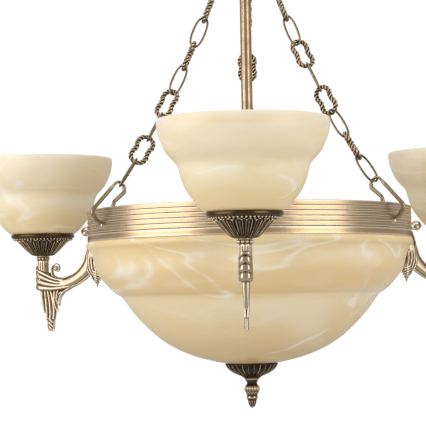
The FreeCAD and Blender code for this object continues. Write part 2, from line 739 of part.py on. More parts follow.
# support rod from the centre down through the bowl to the finial, with its nuts
rod = cyl("support_rod", "rod_radius", 102.0 + 108.0, (0, 0, zz(-108.0)), (0, 0, 1))
rod.Label = "support_rod"
NODES.append(rod)
ring_group("rod_nuts", [hexnut("rn_top", 10.0, 3.0, "rod_radius + thread_clear", (0, 0, zz(98.4))),
                        hexnut("rn_low", 10.0, 5.0, "rod_radius + thread_clear", (0, 0, zz(45.8))),
                        hexnut("rn_bowl", 10.0, 5.0, "rod_radius + thread_clear", (0, 0, zz(-56.0)))])
dim("spacer_radius", 5.5)
tube("bracket_spacer", "spacer_radius", "rod_radius + 0.1", zz(76.2), zz(91.9))

# lamp bracket under the spider with three level lampholders
dim("bracket_radius", 16.0)
dim("bracket_base", 51.0 + UP)
br = [("rod_radius + 0.1", 51.0), (12.0, 51.0), ("bracket_radius", 54.0), ("bracket_radius", 73.0),
      (12.0, 76.0), ("rod_radius + 0.1", 76.0)]
br_raw = turned("lamp_bracket_raw", [(r, z + UP) for r, z in br], "bracket_radius", "bracket_base", node=False)
bb = []
for nm, az in CHAINS:
    d = arm_xy(az, 1.0)
    x, y = arm_xy(az, 9.0)
    bb.append(cyl("brb_" + nm, "stem_bore", 10.0, (x, y, zz(64.0)), (d[0], d[1], 0)))
bbf = doc.addObject("Part::MultiFuse", "br_holes")
bbf.Shapes = bb
br_cut = doc.addObject("Part::Cut", "lamp_bracket")
br_cut.Base = br_raw
br_cut.Tool = bbf
br_cut.Label = "lamp_bracket"
NODES.append(br_cut)
nip = []
for nm, az in CHAINS:
    d = arm_xy(az, 1.0)
    x, y = arm_xy(az, 9.3)
    o = cyl("bn_o_" + nm, "nipple_radius", 13.0, (x, y, zz(64.0)), (d[0], d[1], 0))
    i = cyl("bn_i_" + nm, 3.4, 14.0, (x, y, zz(64.0)), (d[0], d[1], 0))
    cnip = doc.addObject("Part::Cut", "bn_" + nm)
    cnip.Base = o
    cnip.Tool = i
    nip.append(cnip)
ring_group("bracket_nipples", nip)

dim("holder_radius", 14.0)
dim("holder_bore", 7.3)


def axial(label, pts, az, level, node=True):
    """Turned piece whose axis lies level, pointing outward at an azimuth.

    pts are (radius, distance from the light's axis)."""
    body = doc.addObject("PartDesign::Body", "b_" + label)
    body.Label = label
    s = closed_profile(body, "s_" + label, pts, "XZ_Plane", "holder_radius", None)
    rev = body.newObject("PartDesign::Revolution", "r_" + label)
    rev.Profile = (s, [""])
    rev.ReferenceAxis = (s, ["V_Axis"])
    rev.Angle = 360.0
    body.Tip = rev
    d = arm_xy(az, 1.0)
    body.Placement = FreeCAD.Placement(V(0, 0, zz(level)), FreeCAD.Rotation(V(0, 0, 1), V(d[0], d[1], 0)))
    if node:
        NODES.append(body)
    return body


hold = []
for nm, az in CHAINS:
    hold.append(axial("bowl_holder_" + nm, [("stem_bore", 16.4), (10.0, 16.4), ("holder_radius", 20.0),
                                            ("holder_radius", 58.0), ("holder_bore", 58.0), ("holder_bore", 34.0),
                                            ("stem_bore", 30.0)], az, 64.0, node=False))
ring_group("bowl_lampholders", hold)


def lamp_profile(base):
    """Small round lamp: screw base, neck, globe; base = level of the holder's top."""
    pts = [(0.0, base - 23.0), (3.0, base - 23.0), (6.9, base - 19.5), (6.9, base + 0.4), (8.2, base + 1.6), (9.0, base + 5.0)]
    rb = DIM["bulb_radius"]
    cz = base + 28.0
    for k in range(13):
        a = math.radians(-64 + (154.0) * k / 12)
        x, z = rb * math.cos(a), cz + rb * math.sin(a)
        if k == 12:
            x = 0.0
        pts.append((x, z))
    return pts


for nm, az in CHAINS:
    axial("bowl_lamp_" + nm, lamp_profile(58.0), az, 64.0)

# ----------------------------------------------------------------------
# bowl, cap and finial
# ----------------------------------------------------------------------
dim("bowl_radius", 201.8)
dim("bowl_top", 86.2 + UP)
dim("bowl_wall", 4.0)
dim("bowl_hole", 6.0)
bowl = [(200.6, 86.2), (201.8, 83.6), (201.2, 80.0), (197.4, 76.2), (193.6, 68.0), (191.2, 59.0), (188.5, 49.0),
        (183.7, 42.0), (176.8, 34.0), (170.8, 27.8), (164.6, 23.0), (159.6, 20.4), (154.8, 14.5), (149.0, 6.0),
        (142.4, -2.5), (133.2, -12.8), (124.0, -21.8), (113.2, -31.3), (105.2, -37.0), (94.7, -43.4),
        (80.9, -50.0), (64.9, -56.0), (50.6, -59.8), (41.0, -62.0), (30.0, -64.0), (16.0, -65.6)]
bowl = [(r, z + UP) for r, z in bowl]
inner = offset_inner(bowl, DIM["bowl_wall"])
inner[0] = (196.6, bowl[0][1])
inner[1] = (196.6, bowl[1][1])
inner[2] = (196.2, bowl[2][1])
inner[3] = (193.2, bowl[3][1] + 0.4)
turned("bowl_glass", bowl + [("bowl_hole", -66.0 + UP), ("bowl_hole", -62.0 + UP)] + list(reversed(inner)),
       "bowl_radius", "bowl_top")

g1 = tube("gasket_in", 18.0, "rod_radius + 0.1", zz(-61.2), zz(-59.6), node=False)
g2 = tube("gasket_out", 15.0, "rod_radius + 0.1", zz(-68.4), zz(-66.3), node=False)
ring_group("bowl_gaskets", [g1, g2])
w1 = tube("bowl_washer", 17.0, "rod_radius + 0.1", zz(-59.5), zz(-57.9))

dim("cap_radius", 32.5)
dim("cap_top", -64.0 + UP)
cap_out = [(32.5, -64.2), (32.3, -65.2), (31.5, -66.6), (30.2, -68.8), (28.1, -71.3), (25.0, -73.8), (20.9, -76.3),
           (14.9, -78.8), (12.0, -80.1), (10.2, -81.4), (9.2, -83.3)]
cap_in = [(31.2, -64.2), (30.4, -66.2), (29.0, -68.4), (26.8, -70.6), (23.8, -72.8), (19.6, -75.2), (14.0, -77.4), (9.6, -78.8)]
cap = [("rod_radius + 0.1", -83.3)] + list(reversed(cap_out)) + cap_in + [("rod_radius + 0.1", -78.8)]
cap = [(r, z + UP) for r, z in cap]
turned("bottom_cap", cap, "cap_radius", "cap_top")

dim("finial_radius", 9.4)
dim("finial_top", -83.7 + UP)
fin = [("rod_radius + thread_clear", -83.7), (8.6, -83.7), (7.7, -85.0), (6.6, -86.9), (6.1, -88.7), (6.6, -90.0),
       (7.7, -91.3), (8.7, -93.0), (9.4, -95.0), (9.2, -96.7), (8.5, -98.3), (7.8, -100.2), (6.9, -102.2),
       (6.4, -103.8), (6.9, -105.2), (7.0, -106.4), (6.4, -107.7), (5.6, -109.0), (5.4, -111.2), (4.8, -113.4),
       (4.0, -115.3), (2.8, -117.5), (0.0, -119.2), (0.0, -108.6), ("rod_radius + thread_clear", -108.6)]
fin = [(r, z + UP) for r, z in fin]
turned("finial", fin, "finial_radius", "finial_top")

# ----------------------------------------------------------------------
# side arms and what stands on them
# ----------------------------------------------------------------------
ARM_OUT = [(206.0, 111.6), (220.0, 111.6), (232.0, 108.5), (240.0, 101.0), (244.0, 91.0), (246.5, 80.0),
           (250.0, 68.0), (256.5, 58.0), (266.0, 50.5), (278.0, 46.6), (290.0, 46.2), (300.0, 48.0), (310.0, 52.0),
           (319.5, 56.0), (328.5, 60.0), (331.0, 54.0), (331.4, 44.0), (329.5, 36.0), (324.0, 31.2), (306.0, 29.6),
           (292.0, 30.0), (280.0, 32.4), (268.0, 36.8), (256.0, 42.4), (246.0, 48.6), (237.5, 58.0), (232.0, 70.0),
           (229.0, 82.0), (223.0, 90.0), (214.0, 96.0), (206.0, 96.6)]
PEND_OUT = [(324.0, 34.0), (323.6, 31.0), (321.6, 16.0), (319.7, 5.5), (314.8, 2.0), (313.4, -8.0), (312.4, -20.0),
            (307.0, -22.4), (301.9, -21.5), (300.4, -12.0), (299.8, 4.0), (296.6, 12.0), (295.3, 3.3), (293.4, 9.0),
            (291.4, 20.0), (288.5, 27.0), (282.0, 33.0)]
LEAF_OUT = [(230.0, 82.0), (245.0, 82.0), (242.4, 66.0), (240.0, 54.0), (237.8, 45.0), (232.5, 33.0), (226.0, 42.0),
            (224.8, 49.0), (228.0, 58.0), (230.0, 70.0)]
dim("arm_thickness", 13.0)
dim("pendant_thickness", 8.0)
dim("leaf_thickness", 12.0)
dim("neck_radius", 9.5)
dim("neck_top", 70.8 + UP)
dim("neck_bottom", 33.0 + UP)
dim("arm_foot_radius", 10.5)


def feat_pad(body, name, pts, thick_alias):
    s = closed_profile(body, "s_" + name, [(r, z + UP) for r, z in pts], "XZ_Plane", "arm_pitch_radius", "neck_bottom")
    p = body.newObject("PartDesign::Pad", "p_" + name)
    p.Profile = (s, [""])
    p.Length = DIM[thick_alias]
    p.setExpression("Length", "dims." + thick_alias)
    p.Midplane = True
    body.Tip = p
    return p


def prim(body, typ, name, role, props, offset, rot=None, bind=None):
    """Additive or subtractive primitive attached to an origin plane."""
    f = body.newObject(typ, name)
    for k, v in props.items():
        if isinstance(v, str):
            setattr(f, k, num(v))
            f.setExpression(k, expr(v))
        else:
            setattr(f, k, v)
    f.AttachmentSupport = [(plane(body, role), "")]
    f.MapMode = "FlatFace"
    f.AttachmentOffset = FreeCAD.Placement(V(*offset), rot if rot else FreeCAD.Rotation())
    if bind:
        for k, t in bind.items():
            f.setExpression("AttachmentOffset.Base." + k, t)
    body.Tip = f
    return f


RX = FreeCAD.Rotation(V(0, 0, 1), V(1, 0, 0))
for nm, az in ARMS:
    body = doc.addObject("PartDesign::Body", "b_arm_" + nm)
    body.Label = "arm_casting_" + nm
    feat_pad(body, "arm_" + nm, ARM_OUT, "arm_thickness")
    feat_pad(body, "pend_" + nm, PEND_OUT, "pendant_thickness")
    feat_pad(body, "leaf_" + nm, LEAF_OUT, "leaf_thickness")
    ax = {"x": "dims.arm_pitch_radius"}
    prim(body, "PartDesign::AdditiveCylinder", "neck_" + nm, "XY_Plane",
         {"Radius": "neck_radius", "Height": "neck_top - neck_bottom"},
         (DIM["arm_pitch_radius"], 0, DIM["neck_bottom"]), None,
         {"x": "dims.arm_pitch_radius", "z": "dims.neck_bottom"})
    prim(body, "PartDesign::AdditiveCylinder", "wrap_" + nm, "XY_Plane",
         {"Radius": "neck_radius + 2", "Height": 24.0},
         (DIM["arm_pitch_radius"], 0, DIM["neck_bottom"] - 2.0), None,
         {"x": "dims.arm_pitch_radius", "z": "dims.neck_bottom - 2"})
    prim(body, "PartDesign::AdditiveCylinder", "foot_" + nm, "XY_Plane",
         {"Radius": "arm_foot_radius", "Height": 7.0}, (200.4, 0, 104.0 + UP), RX)
    prim(body, "PartDesign::AdditiveSphere", "curl_" + nm, "XY_Plane",
         {"Radius": 5.2}, (297.4, 0, 58.6 + UP))
    prim(body, "PartDesign::AdditiveCylinder", "curltail_" + nm, "XY_Plane",
         {"Radius": 2.6, "Height": 12.0}, (301.0, 0, 45.0 + UP))
    prim(body, "PartDesign::AdditiveSphere", "ball_" + nm, "XY_Plane",
         {"Radius": 5.6}, (249.0, 0, 107.5 + UP))
    prim(body, "PartDesign::AdditiveCylinder", "balltail_" + nm, "XY_Plane",
         {"Radius": 3.0, "Height": 14.0}, (234.0, 0, 105.0 + UP), RX)
    doc.recompute()
    v0 = body.Shape.Volume
    prim(body, "PartDesign::SubtractiveCylinder", "bore_" + nm, "XY_Plane",
         {"Radius": "stem_bore", "Height": 23.5}, (DIM["arm_pitch_radius"], 0, 48.0 + UP), None,
         {"x": "dims.arm_pitch_radius"})
    prim(body, "PartDesign::SubtractiveCylinder", "tap_" + nm, "XY_Plane",
         {"Radius": "screw_radius + thread_clear", "Height": 13.0}, (200.0, 0, 99.5 + UP), RX)
    prim(body, "PartDesign::SubtractiveCylinder", "leadway_" + nm, "XY_Plane",
         {"Radius": "small_lead_radius + 0.4", "Height": 7.0}, (200.0, 0, 109.5 + UP), RX)
    # the body is drawn along +X: azimuth az lies az - 90 degrees from +X
    body.Placement = FreeCAD.Placement(V(0, 0, ZD), FreeCAD.Rotation(V(0, 0, 1), az - 90.0))
    doc.recompute()
    print("arm %s volume %.0f -> %.0f" % (nm, v0, body.Shape.Volume))
    NODES.append(body)

# bead collars, cups, nuts, nipples, holders, shades, rings and lamps
dim("collar_bead_radius", 8.9)
beads, nips, cnuts, holders, rings = [], [], [], [], []
dim("cup_radius", 41.5)
dim("cup_top", 106.0 + UP)
cup_out = [(7.6, 77.4), (13.7, 80.3), (19.0, 84.4), (24.4, 89.4), (31.0, 95.6), (36.6, 99.8), (40.4, 100.4),
           (41.5, 101.6), (41.5, 105.2), (40.9, 106.0)]
cup_in = [(40.0, 106.0), (40.0, 102.4), (35.6, 101.4), (29.6, 97.2), (23.2, 91.2), (17.8, 86.2), (12.6, 82.2),
          ("nipple_radius + 0.1", 79.5)]
cup = [("nipple_radius + 0.1", 77.4)] + cup_out + cup_in
cup = [(r, z + UP) for r, z in cup]

dim("shade_radius", 93.4)
dim("shade_top", 206.0 + UP)
dim("shade_wall", 3.0)
sh = [(38.0, 102.4), (39.4, 103.8), (39.9, 106.2), (43.2, 107.4), (47.2, 110.4), (51.2, 114.4), (54.8, 118.8),
      (58.0, 123.0), (60.8, 127.2), (63.2, 131.6), (65.4, 136.6), (67.2, 141.6), (68.8, 147.0), (70.2, 152.4),
      (72.0, 157.0), (75.0, 161.0), (79.0, 165.2), (82.8, 169.6), (85.6, 174.2), (87.8, 179.0), (90.0, 184.6),
      (91.8, 190.0), (92.9, 195.6), (93.4, 201.0), (93.0, 204.6), (92.0, 206.0)]
sh = [(r, z + UP) for r, z in sh]
sh_in = offset_inner(sh, DIM["shade_wall"])
# the shell's wall lies to the left of the upward outline
sh_in = [(2 * p[0] - q[0], 2 * p[1] - q[1]) for p, q in zip(sh, sh_in)]
sh_in[0] = (36.2, sh[0][1] + 2.8)
sh_in[1] = (36.6, sh[1][1] + 2.2)
sh_in[2] = (38.0, sh[2][1] + 2.4)
sh_in[-1] = (90.6, sh[-1][1])
sh_in[-2] = (90.2, sh[-2][1])
shade = [(14.6, 102.4 + UP)] + sh + list(reversed(sh_in)) + [(14.6, 105.2 + UP)]
for nm, az in ARMS:
    beads.append(turned("bead_" + nm, [(5.1, 71.0 + UP), (7.6, 71.0 + UP), (8.9, 72.4 + UP), (8.9, 75.8 + UP),
                                       (7.6, 77.2 + UP), (5.1, 77.2 + UP)], "collar_bead_radius", "neck_top",
                        node=False, at=az))
    nips.append(turned("armnip_" + nm, [(3.4, 50.0 + UP), ("nipple_radius", 50.0 + UP), ("nipple_radius", 92.0 + UP),
                                        (3.4, 92.0 + UP)], "nipple_radius", "neck_top", node=False, at=az))
    x, y = arm_xy(az, DIM["arm_pitch_radius"])
    cnuts.append(hexnut("cup_nut_" + nm, 13.5, 3.6, "stem_bore", (x, y, zz(80.9))))
    turned("fluted_cup_" + nm, cup, "cup_radius", "cup_top", at=az)
    holders.append(turned("arm_holder_" + nm, [("stem_bore", 85.0 + UP), (10.0, 85.0 + UP), ("holder_radius", 88.0 + UP),
                                               ("holder_radius", 128.0 + UP), ("holder_bore", 128.0 + UP),
                                               ("holder_bore", 104.0 + UP), ("stem_bore", 98.0 + UP)],
                          "holder_radius", "cup_top", node=False, at=az))
    turned("shade_glass_" + nm, shade, "shade_radius", "shade_top", at=az)
    rings.append(turned("shade_ring_" + nm, [("holder_radius + 0.05", 105.3 + UP), (21.0, 105.3 + UP), (21.0, 107.5 + UP),
                                             (16.5, 108.6 + UP), (16.5, 112.0 + UP), ("holder_radius + 0.05", 112.0 + UP)],
                        "holder_radius", "cup_top", node=False, at=az))
    turned("arm_lamp_" + nm, [(r, z + UP) for r, z in lamp_profile(128.0)], "bulb_radius", "cup_top", at=az)
ring_group("bead_collars", beads)
ring_group("arm_nipples", nips)
ring_group("cup_nuts", cnuts)
ring_group("arm_lampholders", holders)
ring_group("shade_rings", rings)

# ----------------------------------------------------------------------
# check and write
# ----------------------------------------------------------------------
doc.recompute()
bad = []
for o in doc.Objects:
    st = list(o.State)
    if "Invalid" in st or "Error" in st:
        bad.append("%s (%s): %s" % (o.Name, o.Label, st))
for n in NODES:
    s = n.Shape
    if s.isNull() or not s.isValid() or not s.Solids:
        bad.append("%s: shape null, invalid or no solid" % n.Label)
if bad:
    raise RuntimeError("failed objects:\n" + "\n".join(bad))
labels = [n.Label for n in NODES]
if len(set(labels)) != len(labels) or len(labels) > 60:
    raise RuntimeError("labels not unique or too many: %d" % len(labels))
for n in NODES:
    n.Shape.exportStep("parts/%s.step" % n.Label)
    bb = n.Shape.BoundBox
    print("%-32s solids %2d  vol %10.1f  x %7.1f..%7.1f y %7.1f..%7.1f z %7.1f..%7.1f" % (
        n.Label, len(n.Shape.Solids), n.Shape.Volume, bb.XMin, bb.XMax, bb.YMin, bb.YMax, bb.ZMin, bb.ZMax))
print("nodes", len(NODES))
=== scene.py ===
import json
import math
import bpy
import numpy as np
from mathutils import Matrix, Vector


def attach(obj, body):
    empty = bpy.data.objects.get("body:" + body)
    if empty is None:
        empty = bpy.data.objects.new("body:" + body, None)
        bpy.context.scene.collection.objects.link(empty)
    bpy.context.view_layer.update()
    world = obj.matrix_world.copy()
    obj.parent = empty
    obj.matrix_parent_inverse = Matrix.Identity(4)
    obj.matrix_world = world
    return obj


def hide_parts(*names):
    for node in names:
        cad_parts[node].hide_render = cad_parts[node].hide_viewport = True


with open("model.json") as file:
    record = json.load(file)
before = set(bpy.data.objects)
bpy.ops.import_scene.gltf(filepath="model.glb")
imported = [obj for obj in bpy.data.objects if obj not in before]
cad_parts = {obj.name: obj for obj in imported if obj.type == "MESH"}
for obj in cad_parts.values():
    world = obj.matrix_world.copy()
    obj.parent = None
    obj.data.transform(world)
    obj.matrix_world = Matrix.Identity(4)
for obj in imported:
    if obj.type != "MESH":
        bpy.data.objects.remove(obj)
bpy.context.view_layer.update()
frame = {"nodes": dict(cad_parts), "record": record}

# Lengths below are millimetres. A height h is measured up from the level of the bowl's
# widest belly line, and the ceiling plate's top is z = 0.
DROP = -780.8
PI2 = 2 * math.pi
ARMS = (("front", 0.0), ("right", 120.0), ("left", -120.0))
CHAINS = (("front_right", 60.0), ("front_left", -60.0), ("back", 180.0))
ARM_R = 319.5
used = set()


# ------------------------------------------------------------------ camera
cam = bpy.data.cameras.new("view")
cam.sensor_width = 36.0
cam.lens = 158.048
cam.clip_start, cam.clip_end = 0.05, 60
cam_ob = bpy.data.objects.new("view", cam)
bpy.context.scene.collection.objects.link(cam_ob)
fwd = Vector((-0.03378137, 0.99804611, 0.05256216)).normalized()
right = Vector((0.99925786, 0.03470277, -0.01671667))
up = Vector((0.01850806, -0.05195844, 0.99847773))
cam_ob.matrix_world = Matrix.Translation((0.033744, -2.314153, -0.780437)) @ \
    Matrix((right, up, -fwd)).transposed().to_4x4()
bpy.context.scene.camera = cam_ob


# ------------------------------------------------------------------ mesh tools
class Acc:
    """Collects vertices and faces (mm) of one piece."""

    def __init__(self):
        self.v, self.f, self.n = [], [], 0

    def add(self, v, f):
        self.v.append(np.asarray(v, float).reshape(-1, 3))
        self.f += [tuple(int(a) + self.n for a in q) for q in f]
        self.n += len(self.v[-1])
        return self

    def verts(self):
        return np.concatenate(self.v)


def smooth_line(pts, step, closed=False, sharp=()):
    """Hermite curve through pts (any number of columns), cornered at the indices in sharp."""
    p = np.asarray(pts, float)
    n = len(p)
    out = []
    segs = n if closed else n - 1
    dim = min(3, p.shape[1])

    def tangent(i, side):
        a, b = i - 1, i + 1
        if closed:
            a, b = a % n, b % n
        if i in sharp or (not closed and (a < 0 or b >= n)):
            j = b if side > 0 else a
            j = max(0, min(n - 1, j))
            d = (p[j] - p[i]) * side
            return d / max(1e-9, np.linalg.norm(d[:dim]))
        la, lb = np.linalg.norm((p[i] - p[a])[:dim]), np.linalg.norm((p[b] - p[i])[:dim])
        return (p[b] - p[a]) / max(1e-9, la + lb)

    for i in range(segs):
        j = (i + 1) % n
        ln = np.linalg.norm((p[j] - p[i])[:dim])
        m1, m2 = tangent(i, 1) * ln, tangent(j, -1) * ln
        k = max(1, int(math.ceil(ln / step)))
        for q in range(k):
            t = q / k
            out.append((2 * t ** 3 - 3 * t ** 2 + 1) * p[i] + (t ** 3 - 2 * t ** 2 + t) * m1
                       + (3 * t ** 2 - 2 * t ** 3) * p[j] + (t ** 3 - t ** 2) * m2)
    if not closed:
        out.append(p[-1])
    return np.array(out)


def inner_line(line, wall):
    """The line moved to its left by wall: the inside of an outline that climbs the outside."""
    d = np.gradient(line, axis=0)
    d /= np.maximum(1e-9, np.linalg.norm(d, axis=1))[:, None]
    return line + wall * np.stack([-d[:, 1], d[:, 0]], 1)


def lathe(p, seg, closed=True, disp=None, amp=None, x0=0.0, drop=DROP, squash=None):
    """Turns the outline p (r, h), which climbs the outside and comes down the inside."""
    p = np.asarray(p, float)
    if np.sum(p[:, 0] * np.roll(p[:, 1], -1) - np.roll(p[:, 0], -1) * p[:, 1]) < 0:
        p = p[::-1]
        if amp is not None:
            amp = amp[::-1]
    n = len(p)
    th = np.arange(seg) * PI2 / seg
    nxt, prv = np.roll(p, -1, 0), np.roll(p, 1, 0)
    if not closed:
        nxt[-1], prv[0] = p[-1], p[0]
    d = nxt - prv
    d /= np.maximum(1e-9, np.linalg.norm(d, axis=1))[:, None]
    nr, nh = d[:, 1], -d[:, 0]
    s = np.concatenate([[0], np.cumsum(np.linalg.norm(np.diff(p, axis=0), axis=1))])
    r = np.repeat(p[:, :1], seg, 1)
    h = np.repeat(p[:, 1:2], seg, 1)
    t = np.repeat(th[None], n, 0)
    if disp is not None:
        k = disp(r, h, t, np.repeat(s[:, None], seg, 1))
        if amp is not None:
            k = k * np.asarray(amp)[:, None]
        r = r + k * nr[:, None]
        h = h + k * nh[:, None]
    sx, sy = squash or (1.0, 1.0)
    v = np.stack([x0 + r * np.cos(t) * sx, r * np.sin(t) * sy, h + drop], -1)
    j = np.arange(seg)
    jn = (j + 1) % seg
    faces = []
    rows = n if closed else n - 1
    pole0 = (not closed) and p[0, 0] < 1e-6
    pole1 = (not closed) and p[-1, 0] < 1e-6
    for i in range(rows):
        a, b = i, (i + 1) % n
        if pole0 and i == 0:
            faces += [(0, b * seg + jj, b * seg + kk) for jj, kk in zip(jn, j)]
        elif pole1 and i == n - 2:
            faces += [(a * seg + jj, a * seg + kk, b * seg) for jj, kk in zip(j, jn)]
        else:
            faces += list(zip(a * seg + j, a * seg + jn, b * seg + jn, b * seg + j))
    v = v.reshape(-1, 3)
    if pole0 or pole1:
        keep = np.ones(len(v), bool)
        if pole0:
            keep[1:seg] = False
        if pole1:
            keep[(n - 1) * seg + 1:] = False
        idx = np.cumsum(keep) - 1
        faces = [tuple(int(idx[q]) for q in f) for f in faces]
        v = v[keep]
    return v, faces


def frames(path, closed=False, hint=None):
    """Tangent, normal and binormal along a path, turning as little as it can."""
    p = np.asarray(path, float)
    n = len(p)
    if closed:
        t = np.roll(p, -1, 0) - np.roll(p, 1, 0)
    else:
        t = np.gradient(p, axis=0)
    t /= np.maximum(1e-9, np.linalg.norm(t, axis=1))[:, None]
    if hint is not None:
        b = np.asarray(hint, float)[None] - t * (t @ np.asarray(hint, float))[:, None]
        b /= np.maximum(1e-9, np.linalg.norm(b, axis=1))[:, None]
        return t, np.cross(b, t), b
    first = np.array([0.0, 1.0, 0.0]) if abs(t[0][1]) < 0.9 else np.array([1.0, 0, 0])
    nn = first - t[0] * np.dot(first, t[0])
    nn /= np.linalg.norm(nn)
    ns = [nn]
    for i in range(1, n):
        v = ns[-1] - t[i] * np.dot(ns[-1], t[i])
        ns.append(v / max(1e-9, np.linalg.norm(v)))
    ns = np.array(ns)
    if closed:
        v = ns[-1] - t[0] * np.dot(ns[-1], t[0])
        v /= np.linalg.norm(v)
        b0 = np.cross(t[0], ns[0])
        ang = math.atan2(np.dot(v, b0), np.dot(v, ns[0]))
        a = -ang * np.arange(n) / n
        b = np.cross(t, ns)
        ns = ns * np.cos(a)[:, None] + b * np.sin(a)[:, None]
    return t, ns, np.cross(t, ns)


def sweep(path, ra, rb=None, sides=12, closed=False, hint=None, lobes=None, turns=0.0, phase=0.0):
    """A tube along path: ra and rb are the half sizes along normal and binormal.
    lobes is a function of the angle that gives the section of a laid rope."""
    p = np.asarray(path, float)
    n = len(p)
    t, nn, bb = frames(p, closed, hint)
    ra = np.broadcast_to(np.asarray(ra, float), (n,)).copy()
    rb = ra.copy() if rb is None else np.broadcast_to(np.asarray(rb, float), (n,)).copy()
    if not closed:
        # rounded ends
        k = np.array([80.0, 55.0, 28.0]) * math.pi / 180
        ea, eb = min(ra[0], rb[0]), min(ra[-1], rb[-1])
        pre = [p[0] - t[0] * ea * math.sin(a) for a in k]
        post = [p[-1] + t[-1] * eb * math.sin(a) for a in k[::-1]]
        p = np.concatenate([pre, p, post])
        ra = np.concatenate([ra[0] * np.cos(k), ra, ra[-1] * np.cos(k[::-1])])
        rb = np.concatenate([rb[0] * np.cos(k), rb, rb[-1] * np.cos(k[::-1])])
        nn = np.concatenate([[nn[0]] * 3, nn, [nn[-1]] * 3])
        bb = np.concatenate([[bb[0]] * 3, bb, [bb[-1]] * 3])
        n += 6
    th = np.arange(sides) * PI2 / sides
    if lobes is None:
        a = th[None] + phase
        v = p[:, None] + nn[:, None] * (ra[:, None] * np.cos(a))[..., None] \
            + bb[:, None] * (rb[:, None] * np.sin(a))[..., None]
    else:
        s = np.concatenate([[0], np.cumsum(np.linalg.norm(np.diff(p, axis=0), axis=1))])
        tot = s[-1] + (np.linalg.norm(p[0] - p[-1]) if closed else 0)
        tw = (s / tot * turns * PI2)[:, None]
        rad = lobes(th[None] - tw) * ra[:, None]
        v = p[:, None] + nn[:, None] * (rad * np.cos(th[None]))[..., None] \
            + bb[:, None] * (rad * np.sin(th[None]))[..., None]
    j = np.arange(sides)
    jn = (j + 1) % sides
    faces = []
    for i in range(n if closed else n - 1):
        a, b = i, (i + 1) % n
        faces += list(zip(a * sides + j, a * sides + jn, b * sides + jn, b * sides + j))
    v = v.reshape(-1, 3)
    if not closed:
        faces.append(tuple(range(sides - 1, -1, -1)))
        faces.append(tuple((n - 1) * sides + q for q in range(sides)))
    return v, faces


def ball(c, r, seg=14, rings=9, axis=None):
    """A round bead; r is one radius or three."""
    rr = np.broadcast_to(np.asarray(r, float), (3,))
    a = np.linspace(-math.pi / 2, math.pi / 2, rings + 1)
    prof = np.stack([np.cos(a), np.sin(a)], 1)
    prof[0, 0] = prof[-1, 0] = 0
    v, f = lathe(prof, seg, closed=False, drop=0.0)
    v = v * rr
    if axis is not None:
        q = Vector((0, 0, 1)).rotation_difference(Vector(axis))
        m = np.array(q.to_matrix())
        v = v @ m.T
    return v + np.asarray(c, float), f


def move(v, az):
    """Turns a shape drawn along +X to point at azimuth az (0 is -Y)."""
    a = math.radians(az - 90)
    m = np.array([[math.cos(a), -math.sin(a), 0], [math.sin(a), math.cos(a), 0], [0, 0, 1]])
    return np.asarray(v) @ m.T


def mirrored(v, f):
    return np.asarray(v) * np.array([1, -1, 1]), [tuple(reversed(q)) for q in f]


def mesh_of(name, acc, angle=38):
    me = bpy.data.meshes.new(name)
    me.from_pydata((acc.verts() * 0.001).tolist(), [], acc.f)
    me.polygons.foreach_set("use_smooth", [True] * len(me.polygons))
    me.update()
    me.set_sharp_from_angle(angle=math.radians(angle))
    return me


def cavity(me, its=(2, 8)):
    """Stores how far each point lies below its smoothed surroundings (mm): hollows are
    positive, ridges negative. The patina in the hollows and the worn, partly painted highlight on the ridges read it."""
    n = len(me.vertices)
    co = np.empty(n * 3, np.float32)
    me.vertices.foreach_get("co", co)
    p = co.reshape(-1, 3).astype(float) * 1000
    base = p.copy()
    e = np.empty(len(me.edges) * 2, np.int32)
    me.edges.foreach_get("vertices", e)
    i, j = e[0::2], e[1::2]
    deg = np.maximum(1, np.bincount(i, minlength=n) + np.bincount(j, minlength=n))[:, None]
    nr = np.empty(n * 3, np.float32)
    me.vertices.foreach_get("normal", nr)
    nr = nr.reshape(-1, 3)
    got = np.zeros(n)
    for k in range(max(its)):
        s = np.stack([np.bincount(i, p[j, c], n) + np.bincount(j, p[i, c], n) for c in range(3)], 1)
        p = 0.4 * p + 0.6 * s / deg
        if k + 1 in its:
            got += ((p - base) * nr).sum(1) / len(its)
    # a little spreading, so that the tone is soft
    for _ in range(1):
        got = 0.5 * got + 0.5 * (np.bincount(i, got[j], n) + np.bincount(j, got[i], n)) / deg[:, 0]
    at = me.attributes.new("cav", "FLOAT", "POINT")
    at.data.foreach_set("value", got.astype(np.float32))
    return me


def put(name, me, mat, body, slot, *nodes, az=None):
    if az is not None:
        me = me.copy()
        me.name = name
        me.transform(Matrix.Rotation(math.radians(az - 90), 4, "Z"))
        me.update()
    ob = bpy.data.objects.new(name, me)
    bpy.context.scene.collection.objects.link(ob)
    if not me.materials:
        me.materials.append(mat)
    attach(ob, body)
    if nodes:
        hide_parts(*nodes)
        used.update(nodes)
    return ob


# ------------------------------------------------------------------ materials
def lin(*c):
    return tuple((x / 255 / 12.92) if x <= 10.3 else ((x / 255 + 0.055) / 1.055) ** 2.4 for x in c) + (1.0,)


